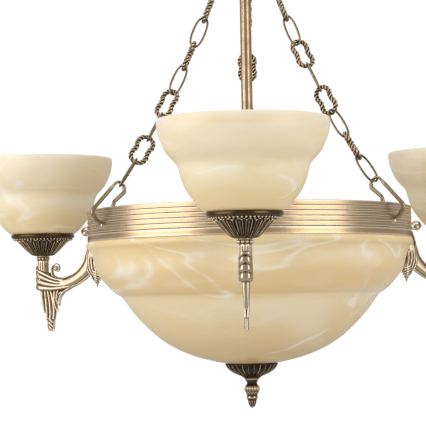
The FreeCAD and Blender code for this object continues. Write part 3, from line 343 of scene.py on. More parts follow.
class Mat:
    def __init__(self, name):
        self.m = bpy.data.materials.new(name)
        self.m.use_nodes = True
        self.t = self.m.node_tree
        self.t.nodes.clear()
        self.out = self.t.nodes.new("ShaderNodeOutputMaterial")
        self.bsdf = self.t.nodes.new("ShaderNodeBsdfPrincipled")
        self.t.links.new(self.bsdf.outputs[0], self.out.inputs[0])
        self.tc = self.t.nodes.new("ShaderNodeTexCoord")

    def link(self, a, b):
        self.t.links.new(a, b)

    def set(self, **kw):
        for k, v in kw.items():
            s = self.bsdf.inputs[k.replace("_", " ")]
            if hasattr(v, "is_output"):
                self.link(v, s)
            else:
                s.default_value = v

    def mapping(self, scale, loc=(0, 0, 0), rot=(0, 0, 0), src=None):
        n = self.t.nodes.new("ShaderNodeMapping")
        n.inputs["Scale"].default_value = scale
        n.inputs["Location"].default_value = loc
        n.inputs["Rotation"].default_value = rot
        self.link(src or self.tc.outputs["Object"], n.inputs["Vector"])
        return n.outputs[0]

    def noise(self, vec, scale, detail=4.0, rough=0.55, dist=0.0, kind="FBM"):
        n = self.t.nodes.new("ShaderNodeTexNoise")
        n.noise_type = kind
        n.inputs["Scale"].default_value = scale
        n.inputs["Detail"].default_value = detail
        n.inputs["Roughness"].default_value = rough
        n.inputs["Distortion"].default_value = dist
        self.link(vec, n.inputs["Vector"])
        return n.outputs["Fac"]

    def ramp(self, fac, *stops, mode="LINEAR"):
        n = self.t.nodes.new("ShaderNodeValToRGB")
        n.color_ramp.interpolation = mode
        el = n.color_ramp.elements
        while len(el) < len(stops):
            el.new(0.5)
        for e, (pos, col) in zip(el, stops):
            e.position = pos
            e.color = col if hasattr(col, "__len__") else (col, col, col, 1)
        self.link(fac, n.inputs[0])
        return n.outputs[0]

    def span(self, v, a, b, c=0.0, d=1.0):
        n = self.t.nodes.new("ShaderNodeMapRange")
        n.inputs[1].default_value, n.inputs[2].default_value = a, b
        n.inputs[3].default_value, n.inputs[4].default_value = c, d
        self.link(v, n.inputs[0])
        return n.outputs[0]

    def math(self, op, a, b=0.0, clamp=False):
        n = self.t.nodes.new("ShaderNodeMath")
        n.operation = op
        n.use_clamp = clamp
        for k, x in enumerate((a, b)):
            if hasattr(x, "is_output"):
                self.link(x, n.inputs[k])
            else:
                n.inputs[k].default_value = x
        return n.outputs[0]

    def mix(self, fac, a, b, mode="MIX"):
        n = self.t.nodes.new("ShaderNodeMix")
        n.data_type = "RGBA"
        n.blend_type = mode
        for k, x in ((0, fac), (6, a), (7, b)):
            if hasattr(x, "is_output"):
                self.link(x, n.inputs[k])
            else:
                n.inputs[k].default_value = x
        return n.outputs[2]

    def attr(self, name):
        n = self.t.nodes.new("ShaderNodeAttribute")
        n.attribute_name = name
        return n.outputs["Fac"]

    def z(self):
        n = self.t.nodes.new("ShaderNodeSeparateXYZ")
        self.link(self.tc.outputs["Object"], n.inputs[0])
        return n.outputs[2]

    def bump(self, height, strength, dist, base=None):
        n = self.t.nodes.new("ShaderNodeBump")
        n.inputs["Strength"].default_value = strength
        n.inputs["Distance"].default_value = dist
        self.link(height, n.inputs["Height"])
        if base is not None:
            self.link(base, n.inputs["Normal"])
        return n.outputs[0]


def antique(name, bright, mid, dark, cav=(-0.03, 0.12), ridge=(-0.12, -0.02), rough=0.3,
            patina=0.35, brush=(30, 30, 1400), grain=0.25, aniso=0.0):
    """Brushed antique brass: dark patina in the hollows, and on the ridges a bright tone that is partly real wear and
    partly a painted highlight.
    """
    m = Mat(name)
    c = m.attr("cav")
    blot = m.noise(m.mapping((1, 1, 1)), 55, 5, 0.6, 0.4)
    fine = m.noise(m.mapping((1, 1, 1)), 420, 4, 0.6)
    lines = m.noise(m.mapping(brush), 1.0, 3, 0.65)
    hollow = m.span(c, cav[0], cav[1])
    hollow = m.math("ADD", hollow, m.span(blot, 0.42, 0.75, -0.12, patina), clamp=True)
    hollow = m.math("ADD", hollow, m.span(fine, 0.3, 0.75, -0.06, 0.10), clamp=True)
    # ridges take the bright colour: partly real wear, partly a painted highlight
    wear_and_highlight = m.math("MULTIPLY", m.span(c, ridge[1], ridge[0]), m.span(fine, 0.25, 0.6, 0.55, 1.0), clamp=True)
    col = m.mix(m.span(lines, 0.3, 0.7), mid, tuple(0.86 * x for x in mid[:3]) + (1,))
    col = m.mix(hollow, col, dark)
    col = m.mix(wear_and_highlight, col, bright)
    m.set(Base_Color=col)
    m.set(Metallic=m.span(hollow, 0.35, 1.0, 1.0, 0.72))
    r = m.math("ADD", m.span(lines, 0.25, 0.75, rough - 0.05, rough + 0.09), m.span(hollow, 0.2, 1.0, 0.0, 0.22))
    m.set(Roughness=m.math("ADD", r, m.span(blot, 0.3, 0.7, -0.04, 0.05), clamp=True))
    b = m.bump(lines, grain, 0.00012)
    m.set(Normal=m.bump(m.noise(m.mapping((1, 1, 1)), 160, 3), 0.12, 0.0004, b))
    if aniso:
        tg = m.t.nodes.new("ShaderNodeTangent")
        tg.direction_type, tg.axis = "RADIAL", "Z"
        m.link(tg.outputs[0], m.bsdf.inputs["Tangent"])
        m.set(Anisotropic=aniso, Anisotropic_Rotation=0.25)
    return m.m


# BRIGHT is the ridge colour: worn brass and a painted highlight in one
BRIGHT = lin(242, 228, 206)
M_SATIN = antique("satin_brass", BRIGHT, lin(190, 164, 130), lin(80, 58, 40), rough=0.25, patina=0.16, aniso=0.5)
M_BAND = antique("band_brass", BRIGHT, lin(194, 165, 128), lin(60, 42, 28), cav=(0.0, 0.10), rough=0.33,
                 patina=0.12, brush=(14, 14, 1100), grain=0.2, aniso=0.55)
M_DARK = antique("dark_brass", lin(220, 198, 164), lin(108, 86, 62), lin(34, 24, 17), cav=(-0.05, 0.09),
                 ridge=(-0.16, -0.03), rough=0.27, patina=0.2, brush=(60, 60, 60))
M_CUP = antique("cup_brass", lin(214, 192, 156), lin(98, 76, 55), lin(20, 14, 10), cav=(-0.06, 0.05),
                ridge=(-0.15, -0.04), rough=0.23, patina=0.14, brush=(60, 60, 60), grain=0.1)
M_LINK = antique("link_brass", lin(190, 168, 138), lin(88, 70, 53), lin(22, 16, 11), cav=(-0.06, 0.06),
                 ridge=(-0.18, -0.05), rough=0.23, patina=0.34, brush=(60, 60, 60), grain=0.1)
M_WIRE = antique("wire_brass", lin(160, 140, 112), lin(58, 46, 36), lin(22, 16, 12), rough=0.2, patina=0.45,
                 brush=(60, 60, 60), grain=0.1)
M_ARM = antique("cast_brass", lin(234, 222, 204), lin(188, 167, 140), lin(38, 26, 18), cav=(0.0, 0.13),
                ridge=(-0.30, -0.06), rough=0.27, patina=0.10, brush=(90, 90, 90), grain=0.12)


def alabaster(name, zlo, zhi, stops, swirl, seed, milky):
    """Cloudy cream glass with soft pale veins."""
    m = Mat(name)
    info = m.t.nodes.new("ShaderNodeObjectInfo")
    shift = m.t.nodes.new("ShaderNodeVectorMath")
    shift.operation = "SCALE"
    shift.inputs[0].default_value = (3.1, 5.3, 7.7)
    m.link(info.outputs["Random"], shift.inputs["Scale"])
    add = m.t.nodes.new("ShaderNodeVectorMath")
    add.operation = "ADD"
    m.link(m.tc.outputs["Object"], add.inputs[0])
    m.link(shift.outputs[0], add.inputs[1])
    obj = add.outputs[0]
    z = m.z()
    wob = m.noise(m.mapping((1, 1, 1.6), loc=(seed, 0, 0), src=obj), swirl * 0.7, 2, 0.5, 0.6)
    zz = m.math("ADD", m.span(z, zlo, zhi), m.span(wob, 0.2, 0.8, -0.07, 0.07), clamp=True)
    col = m.ramp(zz, *stops)
    cloud = m.noise(m.mapping((1, 1, 3.0), loc=(0, seed, 0), rot=(0.18, -0.1, 0), src=obj), swirl * 1.3, 4, 0.5, 0.9)
    col = m.mix(m.span(cloud, 0.50, 0.78, 0.0, 0.5), col, lin(246, 237, 222))
    col = m.mix(m.span(cloud, 0.48, 0.22, 0.0, 0.45), col, lin(234, 205, 142))
    streak = m.noise(m.mapping((1, 1, 3.4), loc=(0, 0, seed), rot=(0.32, 0.12, 0), src=obj), swirl * 1.1, 2, 0.4, 1.5,
                     kind="RIDGED_MULTIFRACTAL")
    col = m.mix(m.span(streak, 1.0, 1.6, 0.0, 0.5), col, lin(250, 245, 236))
    # thin pale wisps along the level lines of a slow noise, and only here and there
    slow = m.noise(m.mapping((1, 1, 2.4), loc=(2 * seed, 0, 1), rot=(0.45, 0.2, 0), src=obj), swirl * 0.75, 2, 0.45, 0.8)
    off = m.math("ABSOLUTE", m.math("SUBTRACT", slow, 0.5))
    wisp = m.math("MULTIPLY", m.span(off, 0.022, 0.0, 0.0, 0.55), m.span(cloud, 0.42, 0.56))
    col = m.mix(wisp, col, lin(252, 247, 238))
    m.set(Base_Color=col)
    m.set(Subsurface_Weight=0.25, Subsurface_Scale=0.008, Subsurface_Radius=(1.0, 0.7, 0.45))
    m.set(Roughness=m.span(cloud, 0.3, 0.7, 0.30, 0.42))
    m.set(Coat_Weight=0.12, Coat_Roughness=0.25, IOR=1.45)
    m.set(Normal=m.bump(m.noise(m.mapping((1, 1, 1)), 28, 3), 0.06, 0.002))
    # part of the light passes through the wall
    tr = m.t.nodes.new("ShaderNodeBsdfTranslucent")
    m.link(m.mix(0.2, col, lin(255, 236, 200)), tr.inputs["Color"])
    mx = m.t.nodes.new("ShaderNodeMixShader")
    mx.inputs[0].default_value = milky
    m.link(m.bsdf.outputs[0], mx.inputs[1])
    m.link(tr.outputs[0], mx.inputs[2])
    m.link(mx.outputs[0], m.out.inputs[0])
    return m.m


M_BOWL = alabaster("alabaster_bowl", -0.846, -0.694,
                   ((0.0, lin(214, 186, 132)), (0.3, lin(230, 206, 160)), (0.55, lin(234, 216, 178)),
                    (0.62, lin(229, 202, 148)), (0.86, lin(235, 213, 168)), (0.96, lin(231, 205, 150)), (1.0, lin(236, 212, 160))),
                   7.0, 2.0, 0.12)
M_SHADE = alabaster("alabaster_shade", -0.678, -0.575,
                    ((0.0, lin(233, 210, 160)), (0.22, lin(236, 217, 175)), (0.45, lin(243, 230, 202)),
                     (0.55, lin(237, 219, 184)), (0.75, lin(240, 224, 192)), (1.0, lin(243, 231, 208))), 9.0, 5.0, 0.14)


def plain(name, a, b, rough, metal=0.0, scale=80, bump=0.1, sss=0.0):
    m = Mat(name)
    n1 = m.noise(m.mapping((1, 1, 1)), scale, 5)
    n2 = m.noise(m.mapping((1, 1, 1)), scale * 9, 3)
    m.set(Base_Color=m.mix(m.math("ADD", m.span(n1, 0.3, 0.7, 0, 0.75), m.span(n2, 0.3, 0.7, 0, 0.25)), a, b),
          Metallic=metal, Roughness=m.span(n2, 0.3, 0.7, rough - 0.06, rough + 0.08),
          Subsurface_Weight=sss, Subsurface_Scale=0.004,
          Normal=m.bump(n2, bump, 0.0002))
    return m.m


M_ZINC = plain("zinc_steel", lin(186, 186, 180), lin(140, 142, 140), 0.34, 1.0, 120)
M_HOLDER = plain("holder_plastic", lin(236, 230, 214), lin(222, 214, 194), 0.38, 0.0, 60, 0.06, 0.1)
M_TERMINAL = plain("terminal_plastic", lin(226, 222, 210), lin(206, 202, 188), 0.42, 0.0, 70, 0.06, 0.1)
M_LEAD = plain("lead_sheath", lin(232, 228, 220), lin(208, 204, 196), 0.45, 0.0, 90, 0.1)
M_RUBBER = plain("gasket_rubber", lin(52, 50, 48), lin(34, 32, 31), 0.62, 0.0, 140, 0.3)
M_LAMP = plain("lamp_opal", lin(250, 247, 240), lin(243, 239, 230), 0.24, 0.0, 30, 0.03, 0.3)
M_CAPSTEEL = plain("lamp_cap_metal", lin(212, 210, 202), lin(180, 178, 170), 0.28, 1.0, 160)
BY_SLOT = {"satin_brass": M_SATIN, "dark_brass": M_DARK, "alabaster_glass": M_BOWL, "lamp_opal": M_LAMP,
           "zinc_steel": M_ZINC, "holder_plastic": M_HOLDER, "terminal_plastic": M_TERMINAL,
           "lead_sheath": M_LEAD, "gasket_rubber": M_RUBBER}


# ------------------------------------------------------------------ glass
def wavy(k):
    def f(r, h, t, s):
        return k * (np.sin(3 * t + h * 0.06) * 0.5 + np.sin(5 * t - h * 0.045 + 1.3) * 0.3
                    + np.sin(2 * t + h * 0.11 + 0.4) * 0.4)
    return f


def glass_outline(outer, wall, bottom, hole, floor_top, rim, step, sharp=()):
    o = smooth_line(outer, step, sharp=sharp)
    i = inner_line(o, wall)[::-1]
    i = i[(i[:, 1] < rim[0][1] - 1.0) & (i[:, 1] > floor_top + 0.6) & (i[:, 0] > hole + 1.0)]
    return np.concatenate([[(hole, bottom)], [(hole + (outer[0][0] - hole) * q, bottom) for q in (0.3, 0.6, 0.85)],
                           o, rim, i, [(hole + (i[-1][0] - hole) * q, floor_top) for q in (0.93, 0.6, 0.3)],
                           [(hole, floor_top)]])


SHADE = [(38, 102.4), (39.4, 103.8), (39.9, 106.2), (43.2, 107.4), (47.2, 110.4), (51.2, 114.4), (54.8, 118.8),
         (58, 123), (60.8, 127.2), (63.2, 131.6), (65.4, 136.6), (67.2, 141.6), (68.8, 147), (70.2, 152.4),
         (72, 157), (75, 161), (79, 165.2), (82.8, 169.6), (85.6, 174.2), (87.8, 179), (90, 184.6), (91.8, 190),
         (92.9, 195.6), (93.4, 201), (93, 204.4)]
shade_p = glass_outline(SHADE, 3.0, 102.4, 14.6, 105.2,
                        [(92.7, 205.3), (92.1, 205.9), (91.4, 206.0), (90.7, 205.5)], 1.4, sharp=(2,))
acc = Acc().add(*lathe(shade_p, 256, disp=wavy(0.10), x0=ARM_R))
shade_me = mesh_of("shade_glass_mesh", acc, 50)
shade_me.materials.append(M_SHADE)
for nm, az in ARMS:
    put("alabaster_shade_" + nm, shade_me, M_SHADE, "root", "alabaster_glass", "shade_glass_" + nm, az=az)

BOWL = [(200.6, 86.2), (201.8, 83.6), (201.2, 80), (197.4, 76.2), (193.6, 68), (191.2, 59), (188.5, 49),
        (183.7, 42), (176.8, 34), (170.8, 27.8), (164.6, 23), (159.6, 20.4), (154.8, 14.5), (149, 6),
        (142.4, -2.5), (133.2, -12.8), (124, -21.8), (113.2, -31.3), (105.2, -37), (94.7, -43.4), (80.9, -50),
        (64.9, -56), (50.6, -59.8), (41, -62), (30, -64), (16, -65.6)][::-1]
bo = smooth_line(BOWL, 2.2, sharp=(len(BOWL) - 12,))
bi = inner_line(bo, 4.0)[::-1]
bi = bi[(bi[:, 1] < 83.5) & (bi[:, 0] > 8)]
bowl_p = np.concatenate([[(6.2, -66.0), (10, -66.0)], bo, [(200.2, 86.6), (199.4, 86.8), (197.4, 86.8), (196.8, 86.4)], bi,
                         [(7.5, -62.0), (6.2, -62.0)]])
acc = Acc().add(*lathe(bowl_p, 320, disp=wavy(0.14)))
put("alabaster_bowl", mesh_of("alabaster_bowl", acc, 50), M_BOWL, "root", "alabaster_glass", "bowl_glass")


# ------------------------------------------------------------------ ribbed band
def band_outline():
    zb, zt = 86.5, 126.1
    grooves = [96.3, 102.3, 108.3, 114.3, 120.3]
    edges = [zb] + grooves + [zt]
    out = []
    for k in range(6):
        a, b = edges[k], edges[k + 1]
        for q in range(13):
            u = q / 12
            y = a + (b - a) * (0.035 + 0.93 * u)
            out.append((200.0 - 0.16 * (2 * u - 1) ** 2 - 0.75 * abs(2 * u - 1) ** 9, y))
        if k < 5:
            out += [(198.3, b - 0.14), (198.3, b + 0.14)]
    out = [(198.2, zb)] + out + [(198.2, zt)]
    inner = [(197.2, zt - 0.3), (197.2, zt - 4)] + [(197.2, y) for y in np.linspace(zt - 8, zb + 4, 9)] + [(197.2, zb + 0.3)]
    return out + inner


acc = Acc().add(*lathe(band_outline(), 720))
band_me = mesh_of("ribbed_band", acc, 60)
band_tmp = bpy.data.objects.new("band_tmp", band_me)
bpy.context.scene.collection.objects.link(band_tmp)
cut = Acc()
for nm, az in CHAINS:
    sl = []
    for r_ in (190.0, 206.0):
        ring = []
        for q in range(24):
            a = PI2 * q / 24
            yy = 108.25 if math.sin(a) > 0 else 103.45
            ring.append((r_, 2.6 * math.cos(a), yy + 2.6 * math.sin(a) + DROP))
        sl.append(ring)
    v = np.array(sl[0] + sl[1])
    f = [(q, (q + 1) % 24, 24 + (q + 1) % 24, 24 + q) for q in range(24)]
    f += [tuple(range(23, -1, -1)), tuple(range(24, 48))]
    cut.add(move(v, az), f)
for nm, az in ARMS:
    for hh, rr in ((99.5, 2.6), (109.5, 2.0)):
        v = np.array([(x, rr * math.cos(PI2 * q / 20), hh + rr * math.sin(PI2 * q / 20) + DROP)
                      for x in (190.0, 206.0) for q in range(20)])
        f = [(q, (q + 1) % 20, 20 + (q + 1) % 20, 20 + q) for q in range(20)]
        f += [tuple(range(19, -1, -1)), tuple(range(20, 40))]
        cut.add(move(v, az), f)
cut_ob = bpy.data.objects.new("band_cut", mesh_of("band_cut", cut))
bpy.context.scene.collection.objects.link(cut_ob)
md = band_tmp.modifiers.new("cut", "BOOLEAN")
md.operation, md.solver, md.object = "DIFFERENCE", "EXACT", cut_ob
dg = bpy.context.evaluated_depsgraph_get()
band_cut_me = bpy.data.meshes.new_from_object(band_tmp.evaluated_get(dg))
bpy.data.objects.remove(band_tmp)
bpy.data.objects.remove(cut_ob)
band_cut_me.materials.clear()
band_cut_me.name = "ribbed_band"
cavity(band_cut_me, (2, 5))
put("ribbed_band", band_cut_me, M_BAND, "root", "satin_brass", "ring_band")


# ------------------------------------------------------------------ fluted cups
CUP = [(7.6, 77.3), (11.8, 77.8), (15.6, 79.5), (20.4, 83.7), (25.5, 88.9), (31.3, 95.0), (34.3, 98.0), (36.9, 99.9)]
FLUTES = 18


def cup_relief(r, h, t, s):
    hp = r * math.pi / FLUTES
    x = (np.mod(t, PI2 / FLUTES) - math.pi / FLUTES) * r
    w = 0.66 * hp
    hs = 95.0
    # past the top of the straight legs the rim closes in a round arch
    along = np.maximum(0.0, (h - hs) * 1.42)
    w0 = 0.66 * 29.9 * math.pi / FLUTES
    d = np.where(along > 0, np.abs(np.hypot(x, along) - w0), np.abs(np.abs(x) - w))
    inside = np.where(along > 0, np.hypot(x, along) < w0, np.abs(x) < w)
    lw = np.clip(0.105 * hp, 0.2, 0.46)
    rim = np.exp(-(d / lw) ** 2) * np.clip(r / 22, 0.45, 1.0)
    tongue = np.exp(-(x / np.maximum(0.2, 0.26 * hp)) ** 2) * np.clip((96.3 - h) / 2.5, 0, 1)
    base = np.where(inside, -0.55 + 0.75 * tongue, -1.25)
    fade = np.clip((h - 78.2) / 2.0, 0, 1) * np.clip((99.4 - h) / 0.9, 0, 1)
    return (base * np.clip(r / 20, 0.5, 1) * (1 - rim) + 0.62 * rim) * fade


co = smooth_line(CUP, 0.36)
top = [(37.3, 100.2), (38.6, 100.5), (39.6, 100.7), (40.6, 100.95), (41.3, 101.5), (41.75, 102.4), (41.9, 103.4),
       (41.75, 104.5), (41.3, 105.5), (40.8, 106.0), (40.2, 106.0), (40.0, 105.4)]
inn = [(40, 102.4), (35.6, 101.4), (32.6, 99.4), (29.6, 97.2), (23.2, 91.2), (17.8, 86.2), (12.6, 82.2), (7.0, 79.6)]
cup_p = np.concatenate([co, top, smooth_line(inn, 2.0)])
amp = np.concatenate([np.ones(len(co)), np.zeros(len(cup_p) - len(co))])
acc = Acc().add(*lathe(cup_p, 576, disp=cup_relief, amp=amp, x0=ARM_R))
for q in range(54):
    a = PI2 * (q + 0.5) / 54
    acc.add(*ball((ARM_R + 38.3 * math.cos(a), 38.3 * math.sin(a), 99.1 + DROP), (1.15, 1.15, 1.35), 10, 7))
for q in range(FLUTES):
    a = PI2 * q / FLUTES
    acc.add(*ball((ARM_R + 33.6 * math.cos(a), 33.6 * math.sin(a), 97.3 + DROP), 0.95, 8, 6))
cup_me = cavity(mesh_of("fluted_cup_mesh", acc, 70), (3, 10))
for v, d in zip(cup_me.vertices, cup_me.attributes["cav"].data):
    # painted shade: the smooth rim gets a darker tone and no ridge highlight, standing in for the dark reflection on it
    if v.co.z * 1000 - DROP > 100.1:
        d.value = -0.022
cup_me.materials.append(M_CUP)
for nm, az in ARMS:
    put("fluted_cup_" + nm + "_visual", cup_me, M_CUP, "root", "dark_brass", "fluted_cup_" + nm, az=az)

# beaded collars under the cups
acc = Acc()
for nm, az in ARMS:
    a1 = Acc()
    a1.add(*lathe([(5.2, 71.2), (7.3, 71.2), (7.6, 71.9), (6.6, 72.6), (6.2, 74.1), (6.6, 75.6), (7.8, 76.3),
                   (7.9, 77.2), (5.2, 77.2)], 48, x0=ARM_R))
    for q in range(10):
        a = PI2 * (q + 0.5) / 10
        a1.add(*ball((ARM_R + 7.2 * math.cos(a), 7.2 * math.sin(a), 74.1 + DROP), 2.1, 16, 11))
    acc.add(move(a1.verts(), az), a1.f)
col_me = cavity(mesh_of("bead_collars_visual", acc, 60), (4, 10))
for v, d in zip(col_me.vertices, col_me.attributes["cav"].data):
    # painted highlight on the outer side of each bead, painted shade between and behind them
    rr = min(math.hypot(v.co.x * 1000 - ARM_R * math.cos(math.radians(az - 90)), v.co.y * 1000 - ARM_R * math.sin(math.radians(az - 90)))
             for _, az in ARMS)
    d.value = 0.05 - 0.24 * min(1.0, max(0.0, (rr - 6.6) / 1.6))
put("bead_collars_visual", col_me, M_CUP, "root", "dark_brass", "bead_collars")


# ------------------------------------------------------------------ cast arms
# Drawn along +X (r outwards, t across, h up); each strand is (r, t, h, half depth, half width).
def strand(acc, pts, hint=(0, 0, 1), both=True, sides=12, step=0.9):
    p = np.array(pts, float)
    line = smooth_line(p, step)
    path = line[:, :3] + np.array([0, 0, DROP])
    v, f = sweep(path, np.maximum(0.15, line[:, 3]), np.maximum(0.15, line[:, 4]), sides=sides, hint=hint)
    acc.add(v, f)
    if both:
        acc.add(*mirrored(v, f))


def sheath(acc, pairs, sides=28, power=0.82, step=1.4):
    """A lofted body between an upper and a lower edge line, rounded across."""
    p = smooth_line(np.array(pairs, float), step)
    tops, bots, half = p[:, :2], p[:, 2:4], p[:, 4]
    th = np.arange(sides) * PI2 / sides
    c = (tops + bots) / 2
    d = (tops - bots) / 2
    cs = np.sign(np.cos(th)) * np.abs(np.cos(th)) ** power
    sn = np.sign(np.sin(th)) * np.abs(np.sin(th)) ** power
    v = np.zeros((len(p), sides, 3))
    v[..., 0] = c[:, :1] + d[:, :1] * cs
    v[..., 2] = c[:, 1:] + d[:, 1:] * cs + DROP
    v[..., 1] = half[:, None] * sn
    n = len(p)
    j = np.arange(sides)
    jn = (j + 1) % sides
    f = []
    for i in range(n - 1):
        f += list(zip(i * sides + j, i * sides + jn, (i + 1) * sides + jn, (i + 1) * sides + j))
    f.append(tuple(range(sides - 1, -1, -1)))
    f.append(tuple((n - 1) * sides + q for q in range(sides)))
    acc.add(v.reshape(-1, 3), f)


raw = Acc()
sheath(raw, [(206.4, 110.6, 206.4, 98.2, 6.2), (222, 110.2, 215.5, 96, 5.8), (233, 106.4, 223.6, 90, 5.6),
             (240.6, 98.5, 229.8, 81, 5.6), (243.8, 88.5, 232.6, 70, 5.7), (246.6, 78.5, 237.6, 59.5, 5.8),
             (251, 67.6, 245.4, 50.6, 5.9), (258.8, 58.2, 254.8, 44, 6.0), (269.6, 51.2, 267, 38, 6.1),
             (282.6, 47.4, 281.4, 33.2, 6.2), (296, 47.4, 295.8, 31, 6.1), (308, 49.6, 308, 31.2, 5.6),
             (318, 52, 318, 33.5, 5.0)])
# rolled edge along the top of the sheath, and a fine line under it
strand(raw, [(232, 0, 107.6, 1.0, 2.6), (240.6, 0, 100, 1.1, 3.0), (244.6, 0, 89, 1.1, 3.2), (247.6, 0, 78.6, 1.2, 3.2),
             (252.2, 0, 67.8, 1.2, 3.0), (259.8, 0, 58.8, 1.2, 3.0), (270, 0, 52.2, 1.2, 3.0), (283, 0, 48.4, 1.2, 3.0),
             (296, 0, 48.2, 1.1, 2.8)], hint=(0, 1, 0), both=False)
strand(raw, [(236.8, 0, 58.2, 1.0, 2.6), (245.0, 0, 49.6, 1.0, 2.8), (254.6, 0, 43.0, 1.0, 2.8),
             (267, 0, 37.1, 1.0, 2.6), (281.4, 0, 32.6, 1.0, 2.4)], hint=(0, 1, 0), both=False)
# neck core and wrap
v, f = lathe([(0, 31.5), (5.2, 31.6), (6.9, 33.5), (7.4, 38), (7.6, 46), (7.4, 54), (6.6, 60), (5.6, 64), (0, 64.2)],
             40, closed=False, x0=0.0, squash=(1.18, 0.86))
raw.add(v + np.array([ARM_R, 0, 0]), f)
A, B = 8.5, 5.35


def round_neck(deg, h, a, b, k=1.0):
    return (ARM_R + A * k * math.cos(math.radians(deg)), B * k * math.sin(math.radians(deg)), h, a, b)


WRAP = [
    # seam height, side height, half width at seam and side, then the run along the sheath
    (62.3, 55.8, 2.3, 2.7, [(311, 5.4, 52.2, 2.2, 2.4), (301, 5.0, 47.9, 2.0, 2.0), (290, 4.2, 45.2, 1.6, 1.6), (277, 3.0, 45.4, 0.9, 0.9)]),
    (55.4, 49.6, 4.0, 3.5, [(311, 5.7, 46.6, 2.4, 3.0), (301, 5.6, 43.4, 2.1, 2.3), (290, 5.0, 41.6, 1.7, 1.7), (276, 3.9, 42.2, 0.9, 1.0)]),
    (46.6, 42.4, 4.3, 3.6, [(311, 5.8, 40.4, 2.4, 3.2), (301, 5.8, 38.8, 2.1, 2.5), (290, 5.3, 38.0, 1.7, 1.9), (275, 4.4, 39.2, 0.9, 1.1)]),
    (37.4, 35.2, 4.7, 3.7, [(311, 5.5, 34.4, 2.4, 3.1), (301, 5.4, 34.0, 2.1, 2.5), (290, 4.8, 34.6, 1.7, 1.9), (274, 3.9, 36.4, 0.9, 1.1)]),
]
for seam, side, hs, hb, run in WRAP:
    pts = [round_neck(9, seam, 2.0, hs * 0.94), round_neck(24, seam - 0.3, 2.5, hs), round_neck(46, seam - (seam - side) * 0.38, 2.6, hs * 0.95),
           round_neck(70, seam - (seam - side) * 0.8, 2.5, hb), round_neck(90, side, 2.5, hb)]
    strand(raw, pts + run, sides=16, step=0.7)

# hanging leaf: flat outer blade, middle blades, curled fronds
strand(raw, [(321.2, 0, 34.5, 3.0, 4.1), (320.6, 0, 26, 2.7, 3.9), (319.6, 0, 16, 2.3, 3.2), (318.3, 0, 8, 1.8, 2.7),
             (317.3, 0, 3.2, 1.2, 2.2)], hint=(0, 1, 0), both=False, sides=18)
for ra, tt, hh, fa, fb, dep in (
        (315.4, 2.7, 33, 1.5, 1.7, 0), (310.6, 3.0, 33, 1.5, 1.8, 1), (305.6, 3.1, 33, 1.5, 1.8, 2)):
    lean = (0.4, -0.2, -0.6)[dep]
    strand(raw, [(ra, tt, hh, fa, fb), (ra - 1.6 + lean, tt * 0.95, 24, fa, fb), (ra - 2.8 + lean * 2, tt * 0.82, 14, fa, fb),
                 (ra - 3.0 + lean * 2, tt * 0.66, 4, fa * 0.9, fb), (ra - 2.4 + lean, tt * 0.5, -6, fa * 0.8, fb * 0.95)],
           hint=(1, 0, 0), sides=12)
# core of the blade and its crosswise tip
strand(raw, [(309, 0, 33, 6.4, 2.9), (308, 0, 20, 6.2, 2.5), (307, 0, 8, 6.0, 1.9), (306.8, 0, -4, 5.6, 1.5), (307, 0, -14, 5.2, 1.25),
             (307.2, 0, -20.6, 4.6, 1.2)], hint=(0, 1, 0), both=False, sides=22)
for a, b in (((313.2, 1.0, -3.0), (302.6, 1.35, -11.5)), ((312.6, 1.0, -8.5), (302.6, 1.3, -17)),
             ((312.2, 0.9, -14), (303.6, 1.1, -20.6))):
    mid = ((a[0] + b[0]) / 2, 1.75, (a[2] + b[2]) / 2)
    strand(raw, [a + (0.7, 0.8), mid + (0.95, 1.45), b + (0.7, 0.7)], hint=(0, 0, 1), sides=10, step=0.6)
strand(raw, [(312.8, 0, -1, 0.9, 1.2), (312.4, 0, -10, 0.9, 1.3), (311.9, 0, -20.2, 1.2, 1.4)], hint=(0, 1, 0), both=False)
strand(raw, [(301.4, 0, 2, 0.9, 1.3), (301.6, 0, -10, 0.9, 1.3), (302.6, 0, -20.4, 1.2, 1.4)], hint=(0, 1, 0), both=False)
strand(raw, [(299.0, 2.6, 33, 1.7, 1.7), (300.2, 2.5, 20, 1.6, 1.6), (299.0, 2.0, 11.4, 1.2, 1.2), (296.1, 1.6, 3.6, 0.55, 0.6)],
       hint=(1, 0, 0))
strand(raw, [(293.4, 2.6, 32.6, 1.6, 1.6), (295.8, 2.5, 25, 1.5, 1.4), (296.6, 2.2, 18, 1.2, 1.1), (294.6, 1.8, 11.6, 0.55, 0.6)],
       hint=(1, 0, 0))
strand(raw, [(266, 2.3, 38.2, 1.0, 1.0), (278, 2.4, 33.2, 1.3, 1.2), (286.4, 2.2, 28.8, 1.3, 1.2), (291.0, 2.0, 23.2, 1.2, 1.1),
             (293.0, 1.7, 17, 0.9, 0.9), (293.4, 1.4, 11.4, 0.5, 0.5)], hint=(1, 0, 0))
strand(raw, [(281, 0, 33, 1.4, 2.2), (288, 0, 29.6, 2.2, 2.3), (294, 0, 27, 2.6, 2.3), (300, 0, 26, 3.0, 2.3)], hint=(0, 1, 0), both=False)

# outer scroll on the arm: a strip that rises and curls over a ball
strand(raw, [(299.0, 0, 45, 2.2, 3.2), (302.6, 0, 50.0, 1.9, 3.0), (304.6, 0, 55.5, 1.6, 2.8), (304.6, 0, 60.6, 1.4, 2.6),
             (302.0, 0, 65.0, 1.3, 2.5), (297.8, 0, 66.4, 1.25, 2.4), (293.9, 0, 64.4, 1.2, 2.3), (292.5, 0, 60.8, 1.1, 2.2),
             (293.6, 0, 57.8, 1.0, 2.0)],
       hint=(0, 1, 0), both=False, sides=16, step=0.6)
raw.add(*ball((298.0, 0, 60.3 + DROP), (3.5, 3.6, 3.5), 20, 14))
strand(raw, [(293.6, 0, 57.8, 1.0, 2.0), (296.2, 0, 57.2, 1.2, 2.0)], hint=(0, 1, 0), both=False)
